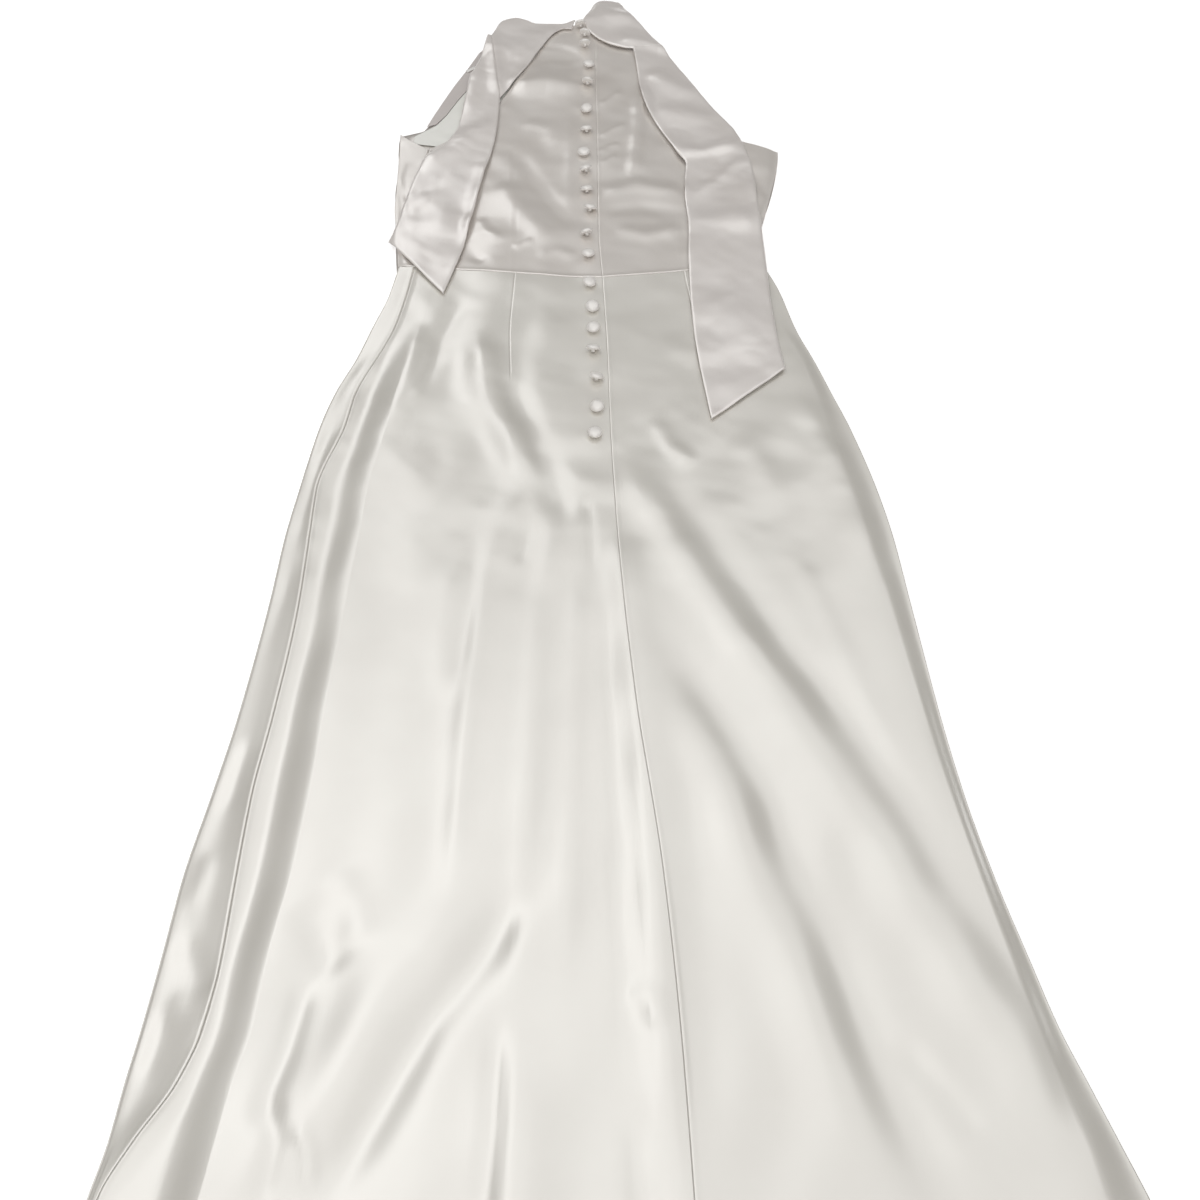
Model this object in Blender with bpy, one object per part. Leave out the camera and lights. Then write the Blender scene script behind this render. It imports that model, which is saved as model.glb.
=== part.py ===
# A long satin halter-neck dress that lies flat on its front, with its buttoned back up.
# Lengths in the tables are millimetres. x runs to the right of the centre back at the waist,
# y runs from the waist to the neck, and z is the height over the surface that the dress lies on.

import math
from collections import namedtuple

import bmesh
import bpy
import numpy as np
from mathutils import Matrix, Vector

# Driving dimensions

SKIRT_LENGTH = 1070.0  # waist seam to hem along the centre back
HEM_RISE = 28.0  # how much higher the hem is at its two sides
BODY_WALL = 1.5  # satin, its seam allowance and lining, as one wall
TIE_WALL = 2.4  # a tie is two layers of satin with turned edges
TIE_REACH = 8.0  # a tie clears the highest cloth within this distance
LINING_WALL = 1.0
SEAM_GAP = 0.3  # between pieces that are sewn together or lie on each other
BASE_HEIGHT = 5.2  # upper face of the back where it lies flat
HEM_LOOSENESS = 3.0  # how much higher it lies towards the hem, where the skirt is full
SIDE_TUCK = 10.0  # width in which the bodice's sides turn down to the front
FOLD_RISE = 4.6  # height of the soft fold beside the side seam
FOLD_FLANK = 28.0  # width of that fold's slope on the seam's side
FOLD_FADE = 0.25  # share of any fold's run in which it rises at either end
CENTRE = (25.0, -307.0)  # middle of the laid dress, which is the part's origin

BUTTON_RADIUS = 6.35
BUTTON_HEIGHT = 4.7
SHANK_RADIUS = 1.6
SHANK_HEIGHT = 2.2
BUTTON_SIDES = 10

# Columns of the skirt's panels. The front's lie flat, go round the left edge and run on top.
SKIRT_ROWS = 32
FRONT_FLAT, FRONT_TURN, FRONT_TOP_COLUMNS = 4, 5, 4
FLANK_COLUMNS, LEFT_COLUMNS = 7, 16
FLAT_COLUMNS, RIGHT_COLUMNS = 12, 16
PAST_FOLD = 14.0  # how far past the soft fold its close columns go
BEFORE_ROLL = 4.0  # how far before the right edge's turn its close columns start

FRONT_TOP = BODY_WALL + SEAM_GAP
LOWEST_UPPER_FACE = FRONT_TOP + BODY_WALL + 0.1

SATIN = "#E6E1D9"
SATIN_BODICE = "#DDD6CF"
LINING = "#EBEBE6"
FACING = "#C6BDB9"
RIBBON = "#F2F1EE"

# Sections of the skirt, from the waist to the hem. left and right are its outline, seam is the left
# side seam on the upper side, fold is the soft fold that the back panel makes beside it, and roll is
# where the panel starts to turn down at the right.
Section = namedtuple("Section", "y left seam fold roll right")
SKIRT = [
    Section(0, -196, -179.5, -158, 146, 158),
    Section(-35, -202, -184, -162, 159, 172),
    Section(-70, -213, -191, -167, 170, 182),
    Section(-110, -224, -204, -174, 184, 196),
    Section(-150, -238, -218, -181, 193, 208),
    Section(-190, -247, -224, -186, 200, 220),
    Section(-262, -256, -240, -196, 212, 236),
    Section(-310, -261, -239.5, -198, 221, 243),
    Section(-370, -264, -239, -201, 230, 248),
    Section(-475, -273, -245, -207, 244, 257),
    Section(-540, -282, -251, -209, 254, 265),
    Section(-600, -291, -252, -214, 264, 276),
    Section(-655, -295, -253, -221, 275, 289),
    Section(-700, -299, -257, -224, 284, 300),
    Section(-735, -303, -268, -232, 292, 312),
    Section(-770, -306, -289, -237, 300, 324),
    Section(-800, -311, -303, -241, 305, 334),
    Section(-930, -332, -324, -266, 346, 373),
    Section(-1070, -356, -348, -297, 384, 406),
]

# The centre back seam and the line of buttons beside it
Seam = namedtuple("Seam", "y x")
CENTRE_BACK = [
    Seam(456, -8),
    Seam(371, -5.5),
    Seam(187, -3),
    Seam(50, -1.5),
    Seam(0, 2),
    Seam(-85, 6),
    Seam(-216, 10),
    Seam(-331, 16),
    Seam(-460, 27),
    Seam(-595, 44),
    Seam(-710, 53),
    Seam(-800, 57),
    Seam(-1070, 66),
]

# The waist seam of the back and sides dips at the centre back and rises evenly to both sides.
Waist = namedtuple("Waist", "x y")
WAIST = [Waist(-200, 13), Waist(2, -4), Waist(172, 18)]
WAIST_FADE = 90.0  # how far from the seam the rows of the panels take up its curve

# The front bodice is the lowest layer, seen from its inside in the armholes.
Outline = namedtuple("Outline", "y left right")
FRONT_BODICE = [
    Outline(0, -196, 158),
    Outline(33, -200, 158),
    Outline(71, -203, 158.5),
    Outline(96, -206, 168),
    Outline(129, -209, 177),
    Outline(159, -208, 183),
    Outline(183, -211, 186),
    Outline(192, -211.5, 166),
    Outline(202, -212, 147),
    Outline(213, -210, 143),
    Outline(217, -201, 141),
    Outline(223, -187, 138),
    Outline(255, -175, 116),
    Outline(287, -164, 100),
    Outline(324, -149, 82),
    Outline(360, -135, 64),
    Outline(376, -125, 57),
    Outline(411, -112, 50),
]

# Strips and panels that are given by their two long edges, from one end to the other
Edges = namedtuple("Edges", "left_x left_y right_x right_y")
BACK_BODICE_LEFT = [
    Edges(-177, 0, 2, 0),
    Edges(-176, 50, -1.5, 50),
    Edges(-178, 100, -2.2, 100),
    Edges(-181, 150, -2.8, 150),
    Edges(-179, 186, -3, 190),
    Edges(-147, 210, -3.5, 225),
    Edges(-113, 256, -4.2, 262),
    Edges(-86, 320, -5, 322),
    Edges(-68, 380, -5.6, 380),
    Edges(-58, 404, -6.5, 412),
]
BACK_BODICE_RIGHT = [
    Edges(2, 0, 135, 0),
    Edges(-1.5, 50, 137, 50),
    Edges(-2.2, 100, 140, 100),
    Edges(-2.8, 150, 145, 150),
    Edges(-3, 190, 148, 186),
    Edges(-3.5, 225, 122, 212),
    Edges(-4.2, 262, 96, 256),
    Edges(-5, 322, 70, 320),
    Edges(-5.6, 380, 52, 380),
    Edges(-6.5, 412, 40, 396),
]
SIDE_BODICE_LEFT = [
    Edges(-196, 0, -177, 0),
    Edges(-201.5, 50, -176, 50),
    Edges(-207, 100, -178, 100),
    Edges(-208.5, 150, -181, 150),
    Edges(-211, 212, -179, 186),
]
SIDE_BODICE_RIGHT = [
    Edges(135, 0, 158, 0),
    Edges(137, 50, 158, 55),
    Edges(140, 100, 168, 97),
    Edges(145, 150, 182, 152),
    Edges(148, 186, 185.5, 178),
    Edges(148.4, 200, 186, 185),
]
ARMHOLE_FACING = [
    Edges(-125.5, 373, -108, 370),
    Edges(-136, 358, -117, 352),
    Edges(-149, 324, -131, 318),
    Edges(-160, 298, -143, 296),
    Edges(-169.5, 272, -155, 272),
    Edges(-178, 248, -165, 248),
    Edges(-184.5, 228, -175, 232),
]
FRONT_LINING = [
    Edges(-107.5, 369, -66, 369),
    Edges(-116.5, 351.5, -74, 350),
    Edges(-130.5, 317.5, -82, 316),
    Edges(-142.5, 295.5, -90, 292),
    Edges(-154.5, 271.5, -100, 270),
    Edges(-164.5, 247.5, -110, 248),
    Edges(-174.5, 230, -122, 232),
    Edges(-196, 212, -137, 204),
    Edges(-197, 200, -150, 192),
]

# The ties, from the neck outwards, as their two long edges
TIE_LEFT_NECK = [
    Edges(-32, 398, -28.5, 415),
    Edges(-41, 399, -45, 408),
    Edges(-53, 388, -71, 408),
    Edges(-66, 362, -85, 415),
    Edges(-83, 321, -97, 420),
    Edges(-95, 296, -112, 413),
    Edges(-108, 272, -123, 384),
]
TIE_LEFT_FALL = [
    Edges(-126, 382, -123.6, 381),
    Edges(-130, 352, -119.4, 352),
    Edges(-136, 326, -115.9, 325),
    Edges(-142, 306, -112.6, 300),
    Edges(-144, 279, -108.8, 270),
    Edges(-147, 244, -109, 238),
    Edges(-151, 214, -110, 209),
    Edges(-162, 188, -113, 180),
    Edges(-179, 169, -118, 150),
    Edges(-189, 138, -123, 112),
    Edges(-197, 95, -128, 74),
    Edges(-202, 62, -135, 30),
    Edges(-207, 45, -149, -27),
]
TIE_RIGHT_NECK = [
    Edges(-19, 413, -10, 436),
    Edges(-14, 397, -5, 450),
    Edges(-5, 382, 5, 456),
    Edges(9, 371, 21, 453),
    Edges(22, 363, 33, 428),
    Edges(31, 360, 48, 400),
    Edges(37.5, 360, 69, 361),
]
TIE_RIGHT_FALL = [
    Edges(37.6, 359.6, 69.2, 360.6),
    Edges(41, 325, 85, 325),
    Edges(43, 295, 98, 298),
    Edges(50, 252, 120, 254),
    Edges(65, 214, 142, 214),
    Edges(81, 178, 151, 182),
    Edges(89, 162, 155, 162),
    Edges(87, 135, 157, 135),
    Edges(86, 109, 157.5, 109),
    Edges(88, 68, 159, 68),
    Edges(86, 13, 160, 13),
    Edges(86, -33, 160.5, -33),
    Edges(88, -90, 163, -82),
    Edges(93, -140, 165, -106),
    Edges(98, -184, 167, -125),
]

# The largest folds: a ridge has a positive height, a trough a negative one. Each follows three
# points, fades at both ends, and has its width across half its height.
Fold = namedtuple("Fold", "name x0 y0 x1 y1 x2 y2 width height")
BODY_FOLDS = [
    Fold("collar_hollow", -84, 350, -46, 350, -8, 328, 13, -1.8),
    Fold("bodice_upper_swell", -104, 296, -58, 302, -12, 288, 16, 4.4),
    Fold("bodice_middle_swell", -84, 236, -56, 220, -30, 184, 14, 1.2),
    Fold("button_placket", -32, 254, -31, 170, -30, 84, 6, 0.7),
    Fold("bodice_left_trough", -92, 190, -62, 132, -24, 58, 10, -1.8),
    Fold("bodice_left_swell", -104, 138, -80, 94, -44, 36, 14, 3.0),
    Fold("bodice_right_dart_fold", 42, 304, 41, 225, 32, 124, 8, 2.8),
    Fold("bodice_right_wrinkle", -2, 120, 38, 130, 92, 120, 10, 2.6),
    Fold("bodice_right_hollow", -2, 88, 38, 98, 92, 88, 9, -1.4),
    Fold("waist_right_wrinkle", 10, 66, 45, 56, 84, 68, 9, 2.0),
    Fold("hip_left_trough", -128, -30, -148, -85, -163, -160, 10, -1.6),
    Fold("hip_left_ridge", -116, -66, -97, -160, -52, -268, 17, 5.2),
    Fold("hip_left_hollow", -90, -120, -52, -214, -26, -300, 13, -2.4),
    Fold("thigh_left_ridge", -150, -210, -158, -300, -150, -380, 20, 1.6),
    Fold("hip_right_ridge", 18, -222, 74, -340, 146, -470, 17, 4.2),
    Fold("hip_right_trough", 54, -240, 122, -368, 190, -490, 15, -1.8),
    Fold("centre_ridge", 13, -270, 29, -470, 58, -960, 16, 3.8),
    Fold("middle_right_trough", 40, -372, 126, -545, 206, -810, 17, -2.6),
    Fold("middle_right_ridge", 56, -430, 106, -590, 180, -820, 20, 3.8),
    Fold("long_right_ridge", 92, -376, 196, -570, 286, -770, 21, 4.0),
    Fold("long_right_trough", 144, -398, 222, -540, 298, -722, 17, -2.2),
    Fold("lower_right_trough", 178, -690, 228, -860, 278, -1130, 20, -3.0),
    Fold("left_diagonal_trough", -34, -588, -110, -697, -182, -830, 14, -3.8),
    Fold("left_diagonal_ridge", -92, -600, -150, -700, -220, -820, 20, 3.0),
    Fold("left_lower_ridge", -50, -690, -56, -840, -96, -1100, 22, 4.2),
    Fold("left_thin_trough", -68, -686, -66, -760, -76, -880, 6, -2.0),
    Fold("left_short_trough", -193, -664, -201, -716, -216, -770, 8, -2.0),
    Fold("hem_left_flare", -210, -860, -225, -1000, -235, -1180, 32, 7.5),
    Fold("hem_middle_trough", -5, -900, 0, -1000, -10, -1180, 26, -3.6),
    Fold("hem_right_flare", 140, -800, 172, -960, 192, -1180, 28, 7.4),
    Fold("hem_outer_flare", 236, -800, 282, -960, 312, -1180, 26, 5.6),
]
TIE_FOLDS = [
    Fold("left_turn", -124, 392, -116, 330, -107, 258, 9, 2.2),
    Fold("left_neck_swell", -60, 388, -84, 372, -112, 340, 16, 1.2),
    Fold("left_neck_edge", -46, 404, -66, 384, -100, 300, 8, 0.8),
    Fold("left_fall_light", -132, 350, -138, 290, -142, 240, 9, 1.4),
    Fold("left_bend", -190, 152, -154, 180, -108, 240, 13, 3.2),
    Fold("left_fall_swell", -184, 120, -160, 90, -148, 40, 17, 1.8),
    Fold("left_standing_edge", -112, 176, -122, 110, -134, 30, 9, 2.4),
    Fold("right_loop", -12, 440, 8, 436, 34, 402, 16, 3.4),
    Fold("right_turn", 20, 376, 52, 368, 86, 348, 8, 2.4),
    Fold("right_upper_swell", 48, 322, 76, 290, 104, 268, 13, 2.8),
    Fold("right_middle_swell", 58, 246, 88, 240, 124, 232, 12, 1.6),
    Fold("right_notch", 78, 178, 108, 180, 152, 194, 8, 3.0),
    Fold("right_diagonal", 92, 108, 122, 138, 152, 172, 7, 1.8),
    Fold("right_lower_swell", 82, 74, 120, 72, 162, 76, 14, 2.0),
    Fold("right_end_swell", 100, -30, 124, -60, 140, -110, 20, 1.6),
]

# The buttons, from the neck down. tilt is how far the head leans, heading the way it leans,
# counted in degrees from the right round by the neck.
Button = namedtuple("Button", "x y tilt heading")
BUTTONS = [
    Button(-21.6, 399, 62, 100),
    Button(-17.6, 381, 66, 80),
    Button(-16.6, 361, 64, 95),
    Button(-12.8, 331, 12, 60),
    Button(-13.7, 292, 60, 85),
    Button(-14, 251, 8, 200),
    Button(-14, 215, 34, 100),
    Button(-16.6, 179, 6, 150),
    Button(-13.6, 150, 42, 120),
    Button(-13.2, 120, 32, 95),
    Button(-10.2, 91, 36, 75),
    Button(-12.4, 53, 50, 110),
    Button(-11.4, 26, 14, 90),
    Button(-10.2, -13.5, 8, 30),
    Button(-6.9, -45, 10, 260),
    Button(-5.6, -73, 8, 170),
    Button(-6.3, -103, 44, 85),
    Button(-3.6, -137, 34, 70),
    Button(-2.1, -170, 8, 210),
    Button(-4.4, -201, 6, 80),
]


# Rules that the shapes follow


def clamp(value, low=0.0, high=1.0):
    return max(low, min(high, value))


def ease(start, end, value):
    """0 at start, 1 at end, and a smooth step between them."""
    t = clamp((value - start) / (end - start))
    return t * t * (3 - 2 * t)


def bell(offset, width):
    return math.exp(-((offset / width) ** 2))


def smooth_column(rows, key, wanted, value):
    """A column of a table at a place between its rows, on a curve that never overshoots them."""
    points = sorted((getattr(row, key), getattr(row, wanted)) for row in rows)
    places = np.array([p[0] for p in points], float)
    values = np.array([p[1] for p in points], float)
    steps = np.diff(places)
    slopes = np.diff(values) / steps
    index = int(clamp(np.searchsorted(places, value) - 1, 0, len(steps) - 1))
    t = clamp((value - places[index]) / steps[index])

    def tangent(i):
        if i == 0:
            return slopes[0]
        if i == len(slopes):
            return slopes[-1]
        before, after = slopes[i - 1], slopes[i]
        return 0.0 if before * after <= 0 else 2 * before * after / (before + after)

    a, b = values[index], values[index + 1]
    ta, tb = tangent(index) * steps[index], tangent(index + 1) * steps[index]
    return (
        a * (1 + 2 * t) * (1 - t) ** 2
        + b * t * t * (3 - 2 * t)
        + ta * t * (1 - t) ** 2
        - tb * t * t * (1 - t)
    )


def skirt_at(y, column):
    return smooth_column(SKIRT, "y", column, y)


def centre_back(y):
    return smooth_column(CENTRE_BACK, "y", "x", y)


def waist_line(x):
    return float(np.interp(x, [row.x for row in WAIST], [row.y for row in WAIST]))


def fold_height(x, y, fold):
    """How much one fold lifts or sinks the cloth at a place."""
    corners = ((fold.x0, fold.y0), (fold.x1, fold.y1), (fold.x2, fold.y2))
    nearest, along = math.inf, 0.0
    for index in (0, 1):
        (ax, ay), (bx, by) = corners[index], corners[index + 1]
        run_x, run_y = bx - ax, by - ay
        t = clamp(((x - ax) * run_x + (y - ay) * run_y) / (run_x**2 + run_y**2))
        away = math.hypot(x - ax - t * run_x, y - ay - t * run_y)
        if away < nearest:
            nearest, along = away, (index + t) / 2
    if nearest > 3 * fold.width:
        return 0.0
    fade = ease(0, FOLD_FADE, along) * ease(1, 1 - FOLD_FADE, along)
    return fold.height * fade * bell(nearest, fold.width)


def skirt_relief(x, y):
    """The lift along the side seam, the soft fold beside it, and the swell at the right edge."""
    strength = ease(-10, -170, y)
    if strength == 0:
        return 0.0
    seam, fold, roll = (skirt_at(y, name) for name in ("seam", "fold", "roll"))
    fullness = 1 + 0.2 * ease(-300, -800, y)
    seam_lift = 2.2 * bell(x - seam, 10)
    from_fold = x - fold
    valley = -0.8 * bell(from_fold + FOLD_FLANK, 12)
    flank = clamp(1 + from_fold / FOLD_FLANK)
    fold_rise = FOLD_RISE * flank**2 * (3 - 2 * flank) * math.exp(-max(from_fold, 0) / 50)
    edge_swell = 2.4 * bell(x - roll + 12, 24)
    return strength * fullness * (seam_lift + valley + fold_rise + edge_swell)


def turned_down(x, y):
    """0 on the upper face, growing to 1 at an outline where the cloth turns down to the front."""
    if y < 0:
        roll, right = skirt_at(y, "roll"), skirt_at(y, "right")
        return ease(roll, right, x)
    left = smooth_column(FRONT_BODICE, "y", "left", min(y, 213))
    right = smooth_column(FRONT_BODICE, "y", "right", min(y, 183))
    side = max(ease(right - SIDE_TUCK, right, x), ease(left + SIDE_TUCK, left, x))
    return side * ease(205, 190, y)


def upper_face(x, y):
    """Height of the upper face of the back, sides and wrapped front at a place."""
    height = BASE_HEIGHT + HEM_LOOSENESS * ease(-100, -700, y)
    height += skirt_relief(x, y)
    height += sum(fold_height(x, y, fold) for fold in BODY_FOLDS)
    turn = turned_down(x, y)
    height += (LOWEST_UPPER_FACE - height) * turn
    spare = height - LOWEST_UPPER_FACE
    return LOWEST_UPPER_FACE + (spare + math.sqrt(spare * spare + 0.3)) / 2


def along_edges(rows, t):
    """The two edge points of a strip at a share t of its length. It runs straight from row to row,
    so that two strips that share an edge's points fit each other."""
    columns = zip(*rows)
    return [float(np.interp(t * (len(rows) - 1), range(len(rows)), column)) for column in columns]


# Making the pieces


def to_linear(channel):
    return channel / 12.92 if channel <= 0.04045 else ((channel + 0.055) / 1.055) ** 2.4


def satin(name, hex_colour, roughness):
    material = bpy.data.materials.new(name)
    material.use_nodes = True
    shader = material.node_tree.nodes["Principled BSDF"]
    channels = [int(hex_colour[i : i + 2], 16) / 255 for i in (1, 3, 5)]
    shader.inputs["Base Color"].default_value = (*map(to_linear, channels), 1)
    shader.inputs["Roughness"].default_value = roughness
    shader.inputs["Metallic"].default_value = 0
    return material


def placed(x, y, z):
    """A place in the tables' millimetres as a place in the part's metres."""
    return Vector(((x - CENTRE[0]) / 1000, (y - CENTRE[1]) / 1000, z / 1000))


def finish(name, mesh_data, hex_colour, roughness, parent):
    mesh = bpy.data.meshes.new(name)
    bmesh.ops.recalc_face_normals(mesh_data, faces=mesh_data.faces)
    mesh_data.to_mesh(mesh)
    mesh_data.free()
    mesh.shade_smooth()
    mesh.set_sharp_from_angle(angle=math.radians(40))
    mesh.materials.append(satin(name + "_cloth", hex_colour, roughness))
    piece = bpy.data.objects.new(name, mesh)
    bpy.context.scene.collection.objects.link(piece)
    piece.parent = parent
    return piece


def panel(name, columns, rows, wall, surface, hex_colour, parent, roughness=0.4):
    """A cloth wall. surface(u, v, depth) is a point that far under the outer face."""
    data = bmesh.new()
    bmesh.ops.create_grid(data, x_segments=columns, y_segments=rows, size=0.5)
    outer = list(data.verts)
    grown = bmesh.ops.extrude_face_region(data, geom=list(data.faces))
    inner = [item for item in grown["geom"] if isinstance(item, bmesh.types.BMVert)]
    # The extrusion leaves the first sheet's faces in place, so both sheets are still flat here.
    for verts, depth in ((outer, 0.0), (inner, wall)):
        for vert in verts:
            vert.co = placed(*surface(vert.co.x + 0.5, vert.co.y + 0.5, depth))
    return finish(name, data, hex_colour, roughness, parent)


def strip(name, table, columns, rows, wall, face, hex_colour, parent):
    """A panel between the two edges of a table, whose outer face has the height face(x, y)."""

    def surface(u, v, depth):
        left_x, left_y, right_x, right_y = along_edges(table, v)
        x = left_x + (right_x - left_x) * u
        y = left_y + (right_y - left_y) * u
        return x, y, face(x, y) - depth

    return panel(name, columns, rows, wall, surface, hex_colour, parent)


def skirt_row(v):
    """The level of a row of the skirt, from the hem at v = 0 to the waist at v = 1."""
    return -SKIRT_LENGTH * (1 - v)


def skirt_level(x, y, back=1.0):
    """The row's level, with the hem's curve below, and above it the slant of the back's waist seam."""
    waist = waist_line(x) * back * ease(-WAIST_FADE, 0, y) - SEAM_GAP / 2
    hem = HEM_RISE * ease(-0.7 * SKIRT_LENGTH, -SKIRT_LENGTH, y) * (x / skirt_at(-SKIRT_LENGTH, "right")) ** 2
    return y + waist + hem


def front_skirt(parent):
    """The lower layer, which turns up round the left edge and on to the side seam."""
    columns = FRONT_FLAT + FRONT_TURN + FRONT_TOP_COLUMNS
    flat_share, roll_share = FRONT_FLAT / columns, (FRONT_FLAT + FRONT_TURN) / columns

    def surface(u, v, depth):
        y = skirt_row(v)
        left, seam, right = (skirt_at(y, name) for name in ("left", "seam", "right"))
        radius = upper_face(left + BASE_HEIGHT / 2, y) / 2
        if u <= flat_share:
            x, z = right + (left + radius - right) * u / flat_share, depth
            back = 0.0
        elif u <= roll_share:
            turn = math.pi * (u - flat_share) / (roll_share - flat_share)
            x = left + radius - (radius - depth) * math.sin(turn)
            z = radius - (radius - depth) * math.cos(turn)
            back = max(-math.cos(turn), 0)
        else:
            share = (u - roll_share) / (1 - roll_share)
            x = left + radius + (seam - SEAM_GAP / 2 - left - radius) * share
            z = upper_face(x, y) - depth
            back = 1.0
        return x, skirt_level(x, y, back), z

    return panel("front_skirt", columns, SKIRT_ROWS, BODY_WALL, surface, SATIN, parent)


def back_skirt_left(parent):
    """From the side seam over the soft fold to the centre back."""
    fold_share = FLANK_COLUMNS / LEFT_COLUMNS

    def surface(u, v, depth):
        y = skirt_row(v)
        seam = skirt_at(y, "seam") + SEAM_GAP / 2
        past_fold = skirt_at(y, "fold") + PAST_FOLD
        middle = centre_back(y) - SEAM_GAP / 2
        if u <= fold_share:
            x = seam + (past_fold - seam) * u / fold_share
        else:
            x = past_fold + (middle - past_fold) * (u - fold_share) / (1 - fold_share)
        return x, skirt_level(x, y), upper_face(x, y) - depth

    return panel("back_skirt_left", LEFT_COLUMNS, SKIRT_ROWS, BODY_WALL, surface, SATIN, parent)


def back_skirt_right(parent):
    """From the centre back to the right edge, where it turns down to the front."""
    flat_share = FLAT_COLUMNS / RIGHT_COLUMNS

    def surface(u, v, depth):
        y = skirt_row(v)
        middle = centre_back(y) + SEAM_GAP / 2
        roll, right = skirt_at(y, "roll") - BEFORE_ROLL, skirt_at(y, "right")
        if u <= flat_share:
            x = middle + (roll - middle) * u / flat_share
        else:
            x = roll + (right - roll) * (u - flat_share) / (1 - flat_share)
        return x, skirt_level(x, y), upper_face(x, y) - depth

    return panel("back_skirt_right", RIGHT_COLUMNS, SKIRT_ROWS, BODY_WALL, surface, SATIN, parent)


def front_bodice(parent):
    levels = [row.y for row in FRONT_BODICE]

    def surface(u, v, depth):
        y = float(np.interp(v * (len(levels) - 1), range(len(levels)), levels))
        left = smooth_column(FRONT_BODICE, "y", "left", y)
        right = smooth_column(FRONT_BODICE, "y", "right", y)
        return right + (left - right) * u, y + SEAM_GAP / 2, depth

    return panel("front_bodice", 6, len(levels) - 1, BODY_WALL, surface, SATIN_BODICE, parent)


def bodice_panel(name, table, columns, rows, inset_left, inset_right, parent):
    """A panel of the upper layer that stands on the waist seam."""

    def surface(u, v, depth):
        left_x, left_y, right_x, right_y = along_edges(table, v)
        left_x += inset_left
        right_x -= inset_right
        x = left_x + (right_x - left_x) * u
        y = left_y + (right_y - left_y) * u
        level = y + (waist_line(x) + SEAM_GAP / 2) * ease(WAIST_FADE, 0, y)
        return x, level, upper_face(x, level) - depth

    return panel(name, columns, rows, BODY_WALL, surface, SATIN_BODICE, parent)


def tie_rest(x, y):
    """Height of a tie's upper face: on the dress, and down to the surface past the neck."""
    past_neck = ease(414, 446, y)
    around = [(0, 0), (-TIE_REACH, 0), (TIE_REACH, 0), (0, -TIE_REACH), (0, TIE_REACH)]
    under = max(upper_face(x + dx, y + dy) for dx, dy in around) + SEAM_GAP
    under += (0.3 - under) * past_neck * 0.8
    lift = sum(fold_height(x, y, fold) for fold in TIE_FOLDS)
    return under + TIE_WALL + max(lift, 0)


def button(number, row, parent):
    """A covered, domed button on a shank, leaning as it lies, clear of the cloth by the seam gap."""
    top = SHANK_HEIGHT + BUTTON_HEIGHT
    profile = [
        (0, 0),
        (SHANK_RADIUS, 0),
        (SHANK_RADIUS, SHANK_HEIGHT),
        (0.86 * BUTTON_RADIUS, SHANK_HEIGHT + 0.2),
        (BUTTON_RADIUS, SHANK_HEIGHT + 0.28 * BUTTON_HEIGHT),
        (0.83 * BUTTON_RADIUS, SHANK_HEIGHT + 0.72 * BUTTON_HEIGHT),
        (0.45 * BUTTON_RADIUS, SHANK_HEIGHT + 0.94 * BUTTON_HEIGHT),
        (0, top),
    ]
    data = bmesh.new()
    verts = [data.verts.new((radius / 1000, 0, height / 1000)) for radius, height in profile]
    edges = [data.edges.new(pair) for pair in zip(verts, verts[1:])]
    bmesh.ops.spin(
        data,
        geom=verts + edges,
        cent=(0, 0, 0),
        axis=(0, 0, 1),
        angle=math.tau,
        steps=BUTTON_SIDES,
        use_merge=True,
    )
    bmesh.ops.remove_doubles(data, verts=data.verts, dist=0.00001)
    lean = Matrix.Rotation(math.radians(row.tilt), 4, "Y")
    turn = Matrix.Rotation(math.radians(row.heading), 4, "Z")
    bmesh.ops.transform(data, matrix=turn @ lean, verts=data.verts)
    spot = placed(row.x, row.y, 0)
    clearances = []
    for vert in data.verts:
        x, y = row.x + vert.co.x * 1000, row.y + vert.co.y * 1000
        clearances.append(upper_face(x, y) - vert.co.z * 1000)
    spot.z = (max(clearances) + SEAM_GAP + 0.1) / 1000
    bmesh.ops.translate(data, vec=spot, verts=data.verts)
    return finish(f"button_{number:02d}", data, SATIN_BODICE, 0.35, parent)


def ribbon_tab(parent):
    """The end of a narrow ribbon that lies on the armhole's facing."""
    length, width = 12.0, 4.0
    angle = math.radians(35)
    middle = Vector((-143.0, 327.0))
    rest = FRONT_TOP + LINING_WALL + SEAM_GAP + LINING_WALL

    def surface(u, v, depth):
        across = (u - 0.5) * length
        up = (v - 0.5) * width
        x = middle.x + across * math.cos(angle) - up * math.sin(angle)
        y = middle.y + across * math.sin(angle) + up * math.cos(angle)
        return x, y, rest + 0.8 * ease(0, 1, u) - depth

    return panel("ribbon_tab", 3, 1, LINING_WALL, surface, RIBBON, parent)


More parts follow.
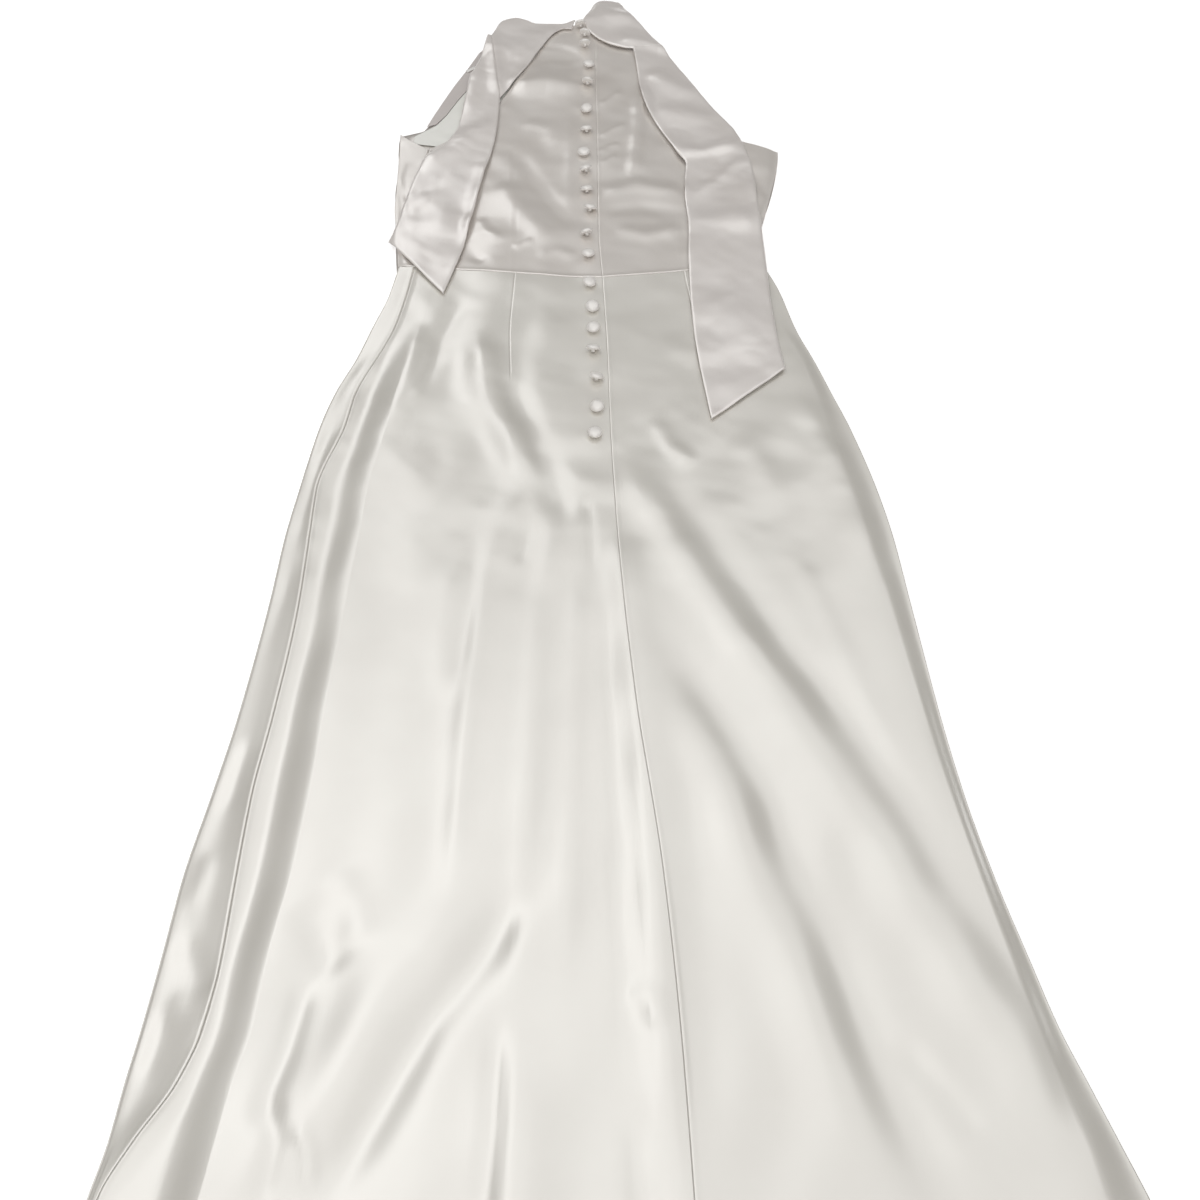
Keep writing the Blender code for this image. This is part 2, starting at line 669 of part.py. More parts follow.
def main():
    for old in list(bpy.data.objects):
        bpy.data.objects.remove(old)
    dress = bpy.data.objects.new("dress", None)
    bpy.context.scene.collection.objects.link(dress)

    front_skirt(dress)
    back_skirt_left(dress)
    back_skirt_right(dress)
    front_bodice(dress)
    half_gap = SEAM_GAP / 2
    bodice_panel("back_bodice_left", BACK_BODICE_LEFT, 12, 24, half_gap, half_gap, dress)
    bodice_panel("back_bodice_right", BACK_BODICE_RIGHT, 12, 24, half_gap, half_gap, dress)
    bodice_panel("side_bodice_left", SIDE_BODICE_LEFT, 4, 8, 0, half_gap, dress)
    bodice_panel("side_bodice_right", SIDE_BODICE_RIGHT, 4, 10, half_gap, 0, dress)

    def on_front(x, y):
        return FRONT_TOP + LINING_WALL

    strip("armhole_facing_left", ARMHOLE_FACING, 2, 6, LINING_WALL, on_front, FACING, dress)
    strip("front_lining", FRONT_LINING, 3, 8, LINING_WALL, on_front, LINING, dress)
    strip("tie_left_neck", TIE_LEFT_NECK, 5, 9, TIE_WALL, tie_rest, SATIN_BODICE, dress)
    strip("tie_left_fall", TIE_LEFT_FALL, 5, 24, TIE_WALL, tie_rest, SATIN_BODICE, dress)
    strip("tie_right_neck", TIE_RIGHT_NECK, 5, 9, TIE_WALL, tie_rest, SATIN_BODICE, dress)
    strip("tie_right_fall", TIE_RIGHT_FALL, 5, 28, TIE_WALL, tie_rest, SATIN_BODICE, dress)
    for number, row in enumerate(BUTTONS, start=1):
        button(number, row, dress)
    ribbon_tab(dress)


main()
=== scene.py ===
# %% [markdown]
# # A satin halter-neck dress, laid flat with its back up
# The dress lies on a pale floor and is seen from its hem. The frame holds its pieces as plain
# walls. Here each of them gets a thin, finely folded shell on the same form, with its seams,
# darts, covered buttons and the long loose ties, and then its cloth.

# %% Load the frame
import math
from collections import namedtuple

import bmesh
import bpy
import numpy as np
from mathutils import Matrix, Vector


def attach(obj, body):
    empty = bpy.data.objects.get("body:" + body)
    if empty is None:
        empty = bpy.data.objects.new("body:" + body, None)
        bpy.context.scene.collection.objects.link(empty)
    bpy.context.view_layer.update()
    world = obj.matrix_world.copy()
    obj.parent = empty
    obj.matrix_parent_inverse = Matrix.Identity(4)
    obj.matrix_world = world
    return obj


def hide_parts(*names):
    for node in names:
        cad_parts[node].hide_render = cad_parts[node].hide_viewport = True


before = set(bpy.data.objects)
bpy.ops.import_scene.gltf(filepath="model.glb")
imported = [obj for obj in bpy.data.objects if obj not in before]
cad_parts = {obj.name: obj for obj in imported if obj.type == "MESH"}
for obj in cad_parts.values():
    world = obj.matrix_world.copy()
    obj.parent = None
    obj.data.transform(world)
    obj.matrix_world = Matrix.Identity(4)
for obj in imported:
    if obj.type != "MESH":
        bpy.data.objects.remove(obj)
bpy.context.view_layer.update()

# %% [markdown]
# ## Working in a dressmaker's millimetres
# Patterns are drawn in millimetres from a few reference lines, so the tables below are too: x to
# the right of the centre back at the waist, y from the waist seam towards the neck, and z up from
# the floor. One function turns them into the frame's metres.

# %% Sizes
SKIRT_LENGTH = 1070.0  # waist seam to hem along the centre back
HEM_RISE = 28.0  # how much higher the hem is at its two sides
BODY_WALL = 1.5  # the frame's walls: skirt and bodice, ties, lining
TIE_WALL = 2.4
LINING_WALL = 1.0
TIE_REACH = 8.0  # a tie clears the highest cloth within this distance
SEAM_GAP = 0.3  # between pieces that lie on each other
SEWN_GAP = 0.06  # left between edges that are sewn together
BASE_HEIGHT = 5.2  # upper face of the back where it lies flat
HEM_LOOSENESS = 3.0  # how much higher it lies towards the hem, where the skirt is full
SIDE_TUCK = 10.0  # width in which the bodice's sides turn down to the front
CENTRE = (25.0, -307.0)  # middle of the laid dress, which is the frame's origin
FRONT_TOP = BODY_WALL + SEAM_GAP
LOWEST_UPPER_FACE = FRONT_TOP + BODY_WALL + 0.1
CLOTH = 0.7  # the satin with its interfacing, which is thinner than the frame's wall
TIE_CLOTH = 1.5  # a tie's layers and their turned edges together
THIN_CLOTH = 0.4  # facing, lining and ribbon


def metres(x, y, z):
    return (x - CENTRE[0]) / 1000, (y - CENTRE[1]) / 1000, z / 1000


# %% [markdown]
# ## Soft rules
# Cloth has no sharp steps, so every change in these tables is eased, and a line through a table's
# rows must not swing past them. A monotone cubic does that, which a plain spline doesn't.

# %% Easing and smooth lines


def ease(start, end, value):
    t = np.clip((value - start) / (end - start), 0, 1)
    return t * t * (3 - 2 * t)


def bell(offset, width):
    return np.exp(-((offset / width) ** 2))


def line_through(places, values):
    order = np.argsort(places)
    at, what = np.array(places, float)[order], np.array(values, float)[order]
    steps = np.diff(at)
    slopes = np.diff(what) / steps
    both = slopes[:-1] * slopes[1:]
    total = slopes[:-1] + slopes[1:]
    inner = np.where(both > 0, 2 * both / np.where(total == 0, 1, total), 0)
    tangents = np.concatenate([slopes[:1], inner, slopes[-1:]])

    def read(value):
        value = np.asarray(value, float)
        i = np.clip(np.searchsorted(at, value) - 1, 0, len(steps) - 1)
        t = np.clip((value - at[i]) / steps[i], 0, 1)
        rise, fall = tangents[i] * steps[i], tangents[i + 1] * steps[i]
        between = what[i] * (1 + 2 * t) * (1 - t) ** 2 + what[i + 1] * t * t * (3 - 2 * t)
        return between + rise * t * (1 - t) ** 2 - fall * t * t * (1 - t)

    return read


# %% [markdown]
# ## The skirt's sections
# An A-line skirt laid flat: its two outlines, the left side seam that lies on the upper side
# because the front turns round the edge, the soft fold beside it, the line where the right side
# turns down, and the centre back seam.

# %% Skirt tables
Section = namedtuple("Section", "y left seam fold roll right")
SKIRT = [
    Section(0, -196, -179.5, -158, 146, 158),
    Section(-35, -202, -184, -162, 159, 172),
    Section(-70, -213, -191, -167, 170, 182),
    Section(-110, -224, -204, -174, 184, 196),
    Section(-150, -238, -218, -181, 193, 208),
    Section(-190, -247, -224, -186, 200, 220),
    Section(-262, -256, -240, -196, 212, 236),
    Section(-310, -261, -239.5, -198, 221, 243),
    Section(-370, -264, -239, -201, 230, 248),
    Section(-475, -273, -245, -207, 244, 257),
    Section(-540, -282, -251, -209, 254, 265),
    Section(-600, -291, -252, -214, 264, 276),
    Section(-655, -295, -253, -221, 275, 289),
    Section(-700, -299, -257, -224, 284, 300),
    Section(-735, -303, -268, -232, 292, 312),
    Section(-770, -306, -289, -237, 300, 324),
    Section(-800, -311, -303, -241, 305, 334),
    Section(-930, -332, -324, -266, 346, 373),
    Section(-1070, -356, -348, -297, 384, 406),
]
skirt = {
    name: line_through([row.y for row in SKIRT], [getattr(row, name) for row in SKIRT])
    for name in Section._fields[1:]
}
CENTRE_BACK_Y = [456, 371, 187, 50, 0, -85, -216, -331, -460, -595, -710, -800, -1070]
CENTRE_BACK_X = [-8, -5.5, -3, -1.5, 2, 6, 10, 16, 27, 44, 53, 57, 66]
centre_back = line_through(CENTRE_BACK_Y, CENTRE_BACK_X)
print("hem width laid flat:", skirt["right"](-SKIRT_LENGTH) - skirt["left"](-SKIRT_LENGTH), "mm")

# %% Waist seam and darts
WAIST_X, WAIST_Y = [-200, 2, 172], [13, -4, 18]
WAIST_FADE = 90.0


def waist_line(x):
    return np.interp(x, WAIST_X, WAIST_Y)


dart_left = line_through([190, 4, -69, -138, -600, -1070], [-92, -82, -84, -81, -105, -130])
dart_right = line_through([176, 8, -33, -75, -600, -1070], [81, 81, 85, 90, 150, 200])
DART_LEFT_ENDS, DART_RIGHT_ENDS = (-138, 188), (-75, 174)

# %% [markdown]
# ## The bodice and the ties
# These pieces aren't bands of even width, so each is given by its two long edges, point against
# point. Panels that share a seam share its points and run straight between them, as cut cloth
# does.

# %% Bodice tables
Outline = namedtuple("Outline", "y left right")
FRONT_BODICE = [
    Outline(0, -196, 158),
    Outline(33, -200, 158),
    Outline(71, -203, 158.5),
    Outline(96, -206, 168),
    Outline(129, -209, 177),
    Outline(159, -208, 183),
    Outline(183, -211, 186),
    Outline(192, -211.5, 166),
    Outline(202, -212, 147),
    Outline(213, -210, 143),
    Outline(217, -201, 141),
    Outline(223, -187, 138),
    Outline(255, -175, 116),
    Outline(287, -164, 100),
    Outline(324, -149, 82),
    Outline(360, -135, 64),
    Outline(376, -125, 57),
    Outline(411, -112, 50),
]
front_left = line_through([row.y for row in FRONT_BODICE], [row.left for row in FRONT_BODICE])
front_right = line_through([row.y for row in FRONT_BODICE], [row.right for row in FRONT_BODICE])

Edges = namedtuple("Edges", "left_x left_y right_x right_y")
BACK_BODICE_LEFT = [
    Edges(-177, 0, 2, 0),
    Edges(-176, 50, -1.5, 50),
    Edges(-178, 100, -2.2, 100),
    Edges(-181, 150, -2.8, 150),
    Edges(-179, 186, -3, 190),
    Edges(-147, 210, -3.5, 225),
    Edges(-113, 256, -4.2, 262),
    Edges(-86, 320, -5, 322),
    Edges(-68, 380, -5.6, 380),
    Edges(-58, 404, -6.5, 412),
]
BACK_BODICE_RIGHT = [
    Edges(2, 0, 135, 0),
    Edges(-1.5, 50, 137, 50),
    Edges(-2.2, 100, 140, 100),
    Edges(-2.8, 150, 145, 150),
    Edges(-3, 190, 148, 186),
    Edges(-3.5, 225, 122, 212),
    Edges(-4.2, 262, 96, 256),
    Edges(-5, 322, 70, 320),
    Edges(-5.6, 380, 52, 380),
    Edges(-6.5, 412, 40, 396),
]
SIDE_BODICE_LEFT = [
    Edges(-196, 0, -177, 0),
    Edges(-201.5, 50, -176, 50),
    Edges(-207, 100, -178, 100),
    Edges(-208.5, 150, -181, 150),
    Edges(-211, 212, -179, 186),
]
SIDE_BODICE_RIGHT = [
    Edges(135, 0, 158, 0),
    Edges(137, 50, 158, 55),
    Edges(140, 100, 168, 97),
    Edges(145, 150, 182, 152),
    Edges(148, 186, 185.5, 178),
    Edges(148.4, 200, 186, 185),
]
ARMHOLE_FACING = [
    Edges(-125.5, 373, -108, 370),
    Edges(-136, 358, -117, 352),
    Edges(-149, 324, -131, 318),
    Edges(-160, 298, -143, 296),
    Edges(-169.5, 272, -155, 272),
    Edges(-178, 248, -165, 248),
    Edges(-184.5, 228, -175, 232),
]
FRONT_LINING = [
    Edges(-107.5, 369, -66, 369),
    Edges(-116.5, 351.5, -74, 350),
    Edges(-130.5, 317.5, -82, 316),
    Edges(-142.5, 295.5, -90, 292),
    Edges(-154.5, 271.5, -100, 270),
    Edges(-164.5, 247.5, -110, 248),
    Edges(-174.5, 230, -122, 232),
    Edges(-196, 212, -137, 204),
    Edges(-197, 200, -150, 192),
]

# %% Tie tables
TIE_LEFT_NECK = [
    Edges(-32, 398, -28.5, 415),
    Edges(-41, 399, -45, 408),
    Edges(-53, 388, -71, 408),
    Edges(-66, 362, -85, 415),
    Edges(-83, 321, -97, 420),
    Edges(-95, 296, -112, 413),
    Edges(-108, 272, -123, 384),
]
TIE_LEFT_FALL = [
    Edges(-126, 382, -123.6, 381),
    Edges(-130, 352, -119.4, 352),
    Edges(-136, 326, -115.9, 325),
    Edges(-142, 306, -112.6, 300),
    Edges(-144, 279, -108.8, 270),
    Edges(-147, 244, -109, 238),
    Edges(-151, 214, -110, 209),
    Edges(-162, 188, -113, 180),
    Edges(-179, 169, -118, 150),
    Edges(-189, 138, -123, 112),
    Edges(-197, 95, -128, 74),
    Edges(-202, 62, -135, 30),
    Edges(-207, 45, -149, -27),
]
TIE_RIGHT_NECK = [
    Edges(-19, 413, -10, 436),
    Edges(-14, 397, -5, 450),
    Edges(-5, 382, 5, 456),
    Edges(9, 371, 21, 453),
    Edges(22, 363, 33, 428),
    Edges(31, 360, 48, 400),
    Edges(37.5, 360, 69, 361),
]
TIE_RIGHT_FALL = [
    Edges(37.6, 359.95, 69.1, 360.95),
    Edges(41, 325, 85, 325),
    Edges(43, 295, 98, 298),
    Edges(50, 252, 120, 254),
    Edges(65, 214, 142, 214),
    Edges(81, 178, 151, 182),
    Edges(89, 162, 155, 162),
    Edges(87, 135, 157, 135),
    Edges(86, 109, 157.5, 109),
    Edges(88, 68, 159, 68),
    Edges(86, 13, 160, 13),
    Edges(86, -33, 160.5, -33),
    Edges(88, -90, 163, -82),
    Edges(93, -140, 165, -106),
    Edges(98, -184, 167, -125),
]

# %% [markdown]
# ## Folds, placed one by one
# A fold is a soft ridge or trough along three points, with its own width and height. It could be
# left to a cloth simulation, but then it falls where it likes. Placed one by one, the long
# diagonal ridges, the hip creases and the flare at the hem sit where this dress has them. lean
# makes one flank steeper than the other, as a fold that lies over to one side has.

# %% Fold tables
Fold = namedtuple("Fold", "name x0 y0 x1 y1 x2 y2 width height lean")
BODY_FOLDS = [
    Fold("collar_hollow", -84, 350, -46, 350, -8, 328, 13, -1.8, 0),
    Fold("bodice_upper_swell", -104, 296, -58, 302, -12, 288, 16, 4.4, 0),
    Fold("bodice_middle_swell", -84, 236, -56, 220, -30, 184, 14, 1.2, 0),
    Fold("button_placket", -32, 254, -31, 170, -30, 84, 6, 0.7, 0),
    Fold("bodice_left_trough", -92, 190, -62, 132, -24, 58, 10, -1.8, 0),
    Fold("bodice_left_swell", -104, 138, -80, 94, -44, 36, 14, 3.0, 0),
    Fold("bodice_right_dart_fold", 42, 304, 41, 225, 32, 124, 8, 2.8, 0),
    Fold("bodice_right_wrinkle", -2, 120, 38, 130, 92, 120, 10, 2.6, 0),
    Fold("bodice_right_hollow", -2, 88, 38, 98, 92, 88, 9, -1.4, 0),
    Fold("waist_right_wrinkle", 10, 66, 45, 56, 84, 68, 9, 2.0, 0),
    Fold("hip_left_trough", -128, -30, -148, -85, -163, -160, 10, -1.6, 0),
    Fold("hip_left_ridge", -116, -66, -97, -160, -52, -268, 17, 5.2, 0),
    Fold("hip_left_hollow", -90, -120, -52, -214, -26, -300, 13, -2.4, 0),
    Fold("thigh_left_ridge", -150, -210, -158, -300, -150, -380, 20, 1.6, 0),
    Fold("hip_right_ridge", 18, -222, 74, -340, 146, -470, 17, 4.2, 0),
    Fold("hip_right_trough", 54, -240, 122, -368, 190, -490, 15, -1.8, 0),
    Fold("centre_ridge", 13, -270, 29, -470, 58, -960, 16, 3.8, -0.25),
    Fold("middle_right_trough", 40, -372, 126, -545, 206, -810, 17, -2.6, 0),
    Fold("middle_right_ridge", 56, -430, 106, -590, 180, -820, 20, 3.8, 0),
    Fold("long_right_ridge", 92, -376, 196, -570, 286, -770, 21, 4.0, 0),
    Fold("long_right_trough", 144, -398, 222, -540, 298, -722, 17, -2.2, 0),
    Fold("lower_right_trough", 178, -690, 228, -860, 278, -1130, 20, -3.0, 0),
    Fold("left_diagonal_trough", -34, -588, -110, -697, -182, -830, 14, -3.8, 0),
    Fold("left_diagonal_ridge", -92, -600, -150, -700, -220, -820, 20, 3.0, 0),
    Fold("left_lower_ridge", -50, -690, -56, -840, -96, -1100, 22, 4.2, 0),
    Fold("left_thin_trough", -68, -686, -66, -760, -76, -880, 6, -2.0, 0),
    Fold("left_short_trough", -193, -664, -201, -716, -216, -770, 8, -2.0, 0),
    Fold("hem_left_flare", -210, -860, -225, -1000, -235, -1180, 32, 7.5, 0),
    Fold("hem_middle_trough", -5, -900, 0, -1000, -10, -1180, 26, -3.6, 0),
    Fold("hem_right_flare", 140, -800, 172, -960, 192, -1180, 28, 7.4, 0),
    Fold("hem_outer_flare", 236, -800, 282, -960, 312, -1180, 26, 5.6, 0),
]
FINE_FOLDS = [
    Fold("collar_wrinkle_high", -70, 372, -44, 366, -20, 352, 5, -0.8, 0),
    Fold("collar_wrinkle_low", -64, 340, -40, 334, -12, 344, 6, 0.9, 0),
    Fold("placket_wrinkle_top", -2, 262, 8, 270, 24, 290, 4, 0.9, 0.3),
    Fold("placket_wrinkle_high", -2, 206, 10, 218, 30, 232, 4, 0.9, 0.3),
    Fold("placket_wrinkle_middle", -2, 180, 8, 191, 22, 198, 4, 0.8, 0.3),
    Fold("placket_wrinkle_low", -1, 164, 8, 170, 18, 180, 4, 0.7, 0.3),
    Fold("waist_wrinkle_left", -64, 28, -40, 36, -20, 24, 7, 0.9, 0),
    Fold("tie_side_glint", -124, 84, -113, 62, -94, 44, 7, 1.3, 0.2),
    Fold("tie_side_crease", -134, 44, -124, 28, -110, 18, 5, -1.2, 0),
    Fold("dart_side_crease", -86, 38, -78, 44, -66, 51, 4, 1.2, 0.3),
    Fold("left_wing_crease", -208, 146, -201, 124, -192, 102, 4, -1.2, 0),
    Fold("right_wing_crease", 152, 160, 164, 128, 172, 110, 6, -1.0, 0),
    Fold("centre_crease", -12, -268, -8, -290, -6, -352, 4, -1.0, 0),
    Fold("hip_left_glint", -170, -160, -162, -136, -152, -86, 4, 1.1, 0),
    Fold("hip_outer_light", -168, -60, -172, -130, -184, -204, 9, 1.6, 0),
    Fold("hip_low_crease", -68, -342, -63, -308, -60, -262, 6, -0.8, 0),
    Fold("hip_low_ridge", -44, -262, -42, -318, -46, -372, 10, 0.9, 0),
    Fold("hip_right_glint", 46, -178, 62, -213, 82, -236, 8, 1.9, 0),
    Fold("hip_right_swell", 118, -196, 140, -236, 150, -290, 14, 1.4, 0),
    Fold("roll_ridge", 172, -150, 206, -232, 232, -400, 12, 1.6, 0),
    Fold("left_middle_ridge", -120, -330, -124, -400, -118, -470, 12, 1.2, 0),
    Fold("left_middle_trough", -100, -300, -104, -380, -110, -450, 8, -1.0, 0),
    Fold("knee_dent", -204, -616, -190, -645, -172, -668, 12, -1.4, 0),
    Fold("knee_swell", -184, -592, -168, -620, -160, -648, 12, 1.4, 0),
    Fold("low_dent", -207, -738, -200, -770, -206, -812, 7, -1.4, 0),
    Fold("low_tip", -188, -756, -179, -775, -176, -800, 5, 1.2, 0),
    Fold("lower_outer_shade", 190, -706, 220, -742, 238, -770, 9, -1.6, 0),
    Fold("centre_bump", 18, -676, 33, -682, 38, -704, 8, 1.6, 0),
    Fold("centre_low_crease", 20, -750, 23, -790, 30, -860, 6, -1.4, 0),
    Fold("strip_high_dent", -268, -556, -263, -520, -257, -490, 9, -0.9, 0),
    Fold("strip_swell", -290, -622, -278, -602, -272, -580, 10, 1.0, 0),
    Fold("strip_dent", -286, -636, -271, -662, -256, -680, 9, -1.2, 0),
    Fold("strip_low_swell", -284, -680, -270, -696, -258, -708, 9, 1.0, 0),
    Fold("strip_low_dent", -294, -736, -286, -708, -288, -684, 9, -1.1, 0),
    Fold("centre_foot_line", 3, -350, 12, -560, 14, -800, 3.5, -0.7, 0),
    Fold("streak_by_centre", -18, -300, -20, -480, -24, -720, 8, 1.0, 0),
    Fold("streak_in_middle", -48, -330, -52, -520, -58, -700, 9, 1.2, 0),
    Fold("streak_at_left", -92, -320, -100, -470, -104, -620, 9, 1.4, 0),
    Fold("streak_at_right", 150, -300, 196, -440, 226, -540, 10, 1.0, 0),
    Fold("strip_hip_dent", -240, -180, -246, -250, -250, -330, 7, -1.0, 0),
]

# %% Lifting the cloth along a fold
FOLD_FADE = 0.25  # share of a fold's run in which it rises at either end


def fold_lift(x, y, fold):
    corners = ((fold.x0, fold.y0), (fold.x1, fold.y1), (fold.x2, fold.y2))
    nearest, along = np.full(np.shape(x), np.inf), np.zeros(np.shape(x))
    side = np.zeros(np.shape(x))
    for index in (0, 1):
        (ax, ay), (bx, by) = corners[index], corners[index + 1]
        run_x, run_y = bx - ax, by - ay
        t = np.clip(((x - ax) * run_x + (y - ay) * run_y) / (run_x**2 + run_y**2), 0, 1)
        off_x, off_y = x - ax - t * run_x, y - ay - t * run_y
        away = np.hypot(off_x, off_y)
        closer = away < nearest
        nearest = np.where(closer, away, nearest)
        along = np.where(closer, (index + t) / 2, along)
        side = np.where(closer, np.sign(run_x * off_y - run_y * off_x), side)
    width = fold.width * (1 - side * fold.lean)
    fade = ease(0, FOLD_FADE, along) * ease(1, 1 - FOLD_FADE, along)
    return fold.height * fade * bell(nearest, width)


def folds_lift(x, y, folds):
    return sum(fold_lift(x, y, fold) for fold in folds)


# %% [markdown]
# ## The upper face
# Everything that lies on top follows one height over the floor: a base that loosens towards the
# hem, the relief along the side seam and the soft fold, the folds, and the turn down to the front
# at the edges. A very low, wide unevenness goes over it, because satin never lies perfectly flat
# and its shine shows it.

# %% Unevenness
WAVE_COUNT = 14
waves = np.random.default_rng(11)
WAVE_LENGTHS = waves.uniform(46, 150, WAVE_COUNT)
WAVE_ANGLES = waves.normal(0.0, 0.45, WAVE_COUNT)
WAVE_SHIFTS = waves.uniform(0, math.tau, WAVE_COUNT)
WAVE_HEIGHT = 0.16
WAVE_BEND = 0.9  # how far a wave snakes, in radians of its own run


def unevenness(x, y):
    """Low waves that run mostly down the dress, as hanging has left them in the cloth."""
    total = 0
    for length, angle, shift in zip(WAVE_LENGTHS, WAVE_ANGLES, WAVE_SHIFTS):
        across = x * math.cos(angle) + y * math.sin(angle)
        bend = WAVE_BEND * np.sin(y / length / 1.7)
        total = total + np.sin(math.tau * across / length + shift + bend)
    return WAVE_HEIGHT * total


# %% Rumples
LATTICE_SIZE = (97, 89)
FEW_RUMPLES = 0.12
LATTICE = np.random.default_rng(5).uniform(-1, 1, LATTICE_SIZE)


def soft_noise(x, y, size_x, size_y, shift):
    """Smooth random heights from -1 to 1, with bumps of the given sizes in mm."""
    u, v = x / size_x + shift, y / size_y + 1.7 * shift
    i, j = np.floor(u).astype(int), np.floor(v).astype(int)
    s, t = ease(0, 1, u - i), ease(0, 1, v - j)
    rows, columns = LATTICE_SIZE
    corner = [[LATTICE[(i + a) % rows, (j + b) % columns] for b in (0, 1)] for a in (0, 1)]
    near = corner[0][0] * (1 - t) + corner[0][1] * t
    far = corner[1][0] * (1 - t) + corner[1][1] * t
    return near * (1 - s) + far * s


def rumples(x, y):
    """Small soft dents, many on the bodice and the hip, and few on the long panels."""
    amount = FEW_RUMPLES + 0.55 * ease(-430, -250, y) + 0.33 * ease(-40, 30, y)
    bent = x + 7 * soft_noise(x, y, 60, 60, 3.3)
    wide = 0.95 * soft_noise(bent + 0.3 * y, y, 42, 26, 11.0)
    small = 0.28 * soft_noise(bent, y + 0.2 * x, 17, 12, 23.0)
    return amount * (wide + small)


# %% Relief of the skirt's edges
FOLD_RISE = 4.6  # the soft fold beside the side seam, and the width of its flank
FOLD_FLANK = 28.0
FOLD_RUN_OUT = 50.0  # how far the fold takes to sink into the flat cloth
SEAM_LIFT = 2.2  # the side seam's own ridge
VALLEY_DEPTH = 0.8  # between that ridge and the fold
EDGE_SWELL = 2.4  # just inside the right edge, before the cloth rolls down
RELIEF_STARTS = (-10, -170)  # from the waist down to the hip
HEM_FULLNESS, FULLNESS_STARTS = 0.2, (-300, -800)


def skirt_relief(x, y):
    strength = ease(*RELIEF_STARTS, y)
    fullness = 1 + HEM_FULLNESS * ease(*FULLNESS_STARTS, y)
    seam_lift = SEAM_LIFT * bell(x - skirt["seam"](y), 10)
    from_fold = x - skirt["fold"](y)
    valley = -VALLEY_DEPTH * bell(from_fold + FOLD_FLANK, 12)
    flank = np.clip(1 + from_fold / FOLD_FLANK, 0, 1)
    run_out = np.exp(-np.maximum(from_fold, 0) / FOLD_RUN_OUT)
    fold_rise = FOLD_RISE * flank**2 * (3 - 2 * flank) * run_out
    edge_swell = EDGE_SWELL * bell(x - skirt["roll"](y) + 12, 24)
    return strength * fullness * (seam_lift + valley + fold_rise + edge_swell)


# %% The turn down to the front
ARMHOLE_LEFT, ARMHOLE_RIGHT = 213, 183  # where the front's sides end
SIDES_END = (205, 190)


def turned_down(x, y):
    """Share of its height that the upper face has lost where it goes round to the front."""
    below = ease(skirt["roll"](y), skirt["right"](y), x)
    left = front_left(np.clip(y, 0, ARMHOLE_LEFT))
    right = front_right(np.clip(y, 0, ARMHOLE_RIGHT))
    side = np.maximum(ease(right - SIDE_TUCK, right, x), ease(left + SIDE_TUCK, left, x))
    return np.where(y < 0, below, side * ease(*SIDES_END, y))


# %% Height of the upper face
LOOSENS = (-100, -700)  # from the hip to the knee
SOFT_FLOOR = 0.3  # rounds the place where a hollow would cut into the front


def upper_face(x, y, fine=True):
    x, y = np.asarray(x, float), np.asarray(y, float)
    height = BASE_HEIGHT + HEM_LOOSENESS * ease(*LOOSENS, y)
    height = height + skirt_relief(x, y) + folds_lift(x, y, BODY_FOLDS)
    if fine:
        height = height + folds_lift(x, y, FINE_FOLDS) + unevenness(x, y) + rumples(x, y)
    height = height + (LOWEST_UPPER_FACE - height) * turned_down(x, y)
    spare = height - LOWEST_UPPER_FACE
    return LOWEST_UPPER_FACE + (spare + np.sqrt(spare * spare + SOFT_FLOOR)) / 2


print("height at the hip's left ridge:", round(float(upper_face(-94, -185)), 1), "mm")

# %% [markdown]
# ## Seams
# A seam shows as a fine groove between two low welts, because the allowances lie under both
# edges. The grid of a panel would be too coarse for a groove of half a millimetre, so its rows
# and columns crowd together next to every seam and the skirt's darts and stay wide between them.

# %% Rows and columns that crowd at the seams
CROWD = np.array([0, 0.45, 0.9, 1.5, 2.3, 3.5, 5.2])  # distances from a seam
SKIRT_ROW_STEP, SKIRT_COLUMN_STEP, FRONT_STEP = 3.6, 3.3, 5.0  # and away from all seams
BODICE_STEP, TIE_STEP, INSIDE_STEP = 2.6, 2.4, 2.2


def stations(length, step, start=True, end=True):
    """Places along a length in mm, as shares of it, crowded at its ends."""
    head = CROWD if start else CROWD[:1]
    tail = length - (CROWD[::-1] if end else CROWD[:1])
    count = max(int(math.ceil((tail[0] - head[-1]) / step)), 1)
    middle = np.linspace(head[-1], tail[0], count + 1)[1:-1]
    return np.concatenate([head, middle, tail]) / length


# %% Welts
WELT_PLACE, WELT_WIDTH = 1.5, 1.6
GROOVE_WIDTH = 0.5
WAIST_RIDGE = 0.8


def welt(distance, height):
    """The low ridge beside a seam, over the allowance that is pressed under it."""
    groove = 0.5 * bell(distance, GROOVE_WIDTH)
    return height * (bell(distance - WELT_PLACE, WELT_WIDTH) - groove)


def waist_ridge(distance):
    """The bodice's lower edge, which rises over its allowance and rounds down to the skirt."""
    return WAIST_RIDGE * bell(distance, 2.8) - WAIST_RIDGE * bell(distance, 0.6)


# %% Columns between guide lines


def columns_between(guides, widths):
    """Columns that follow guide lines: their x for an array of y, crowded at each guide."""
    shares = [stations(width, SKIRT_COLUMN_STEP) for width in widths]

    def place(y):
        parts = []
        for index, share in enumerate(shares):
            low, high = guides[index](y)[:, None], guides[index + 1](y)[:, None]
            piece = low + (high - low) * share[None, :]
            parts.append(piece if index == 0 else piece[:, 1:])
        return np.concatenate(parts, axis=1)

    return place


# %% [markdown]
# ## From a grid of places to a piece of cloth
# Each panel starts as a flat grid whose vertices are moved to their places. A Solidify modifier
# then gives it the thickness of the cloth, inwards, so that the outer face stays where it was
# drawn.

# %% Making a cloth piece


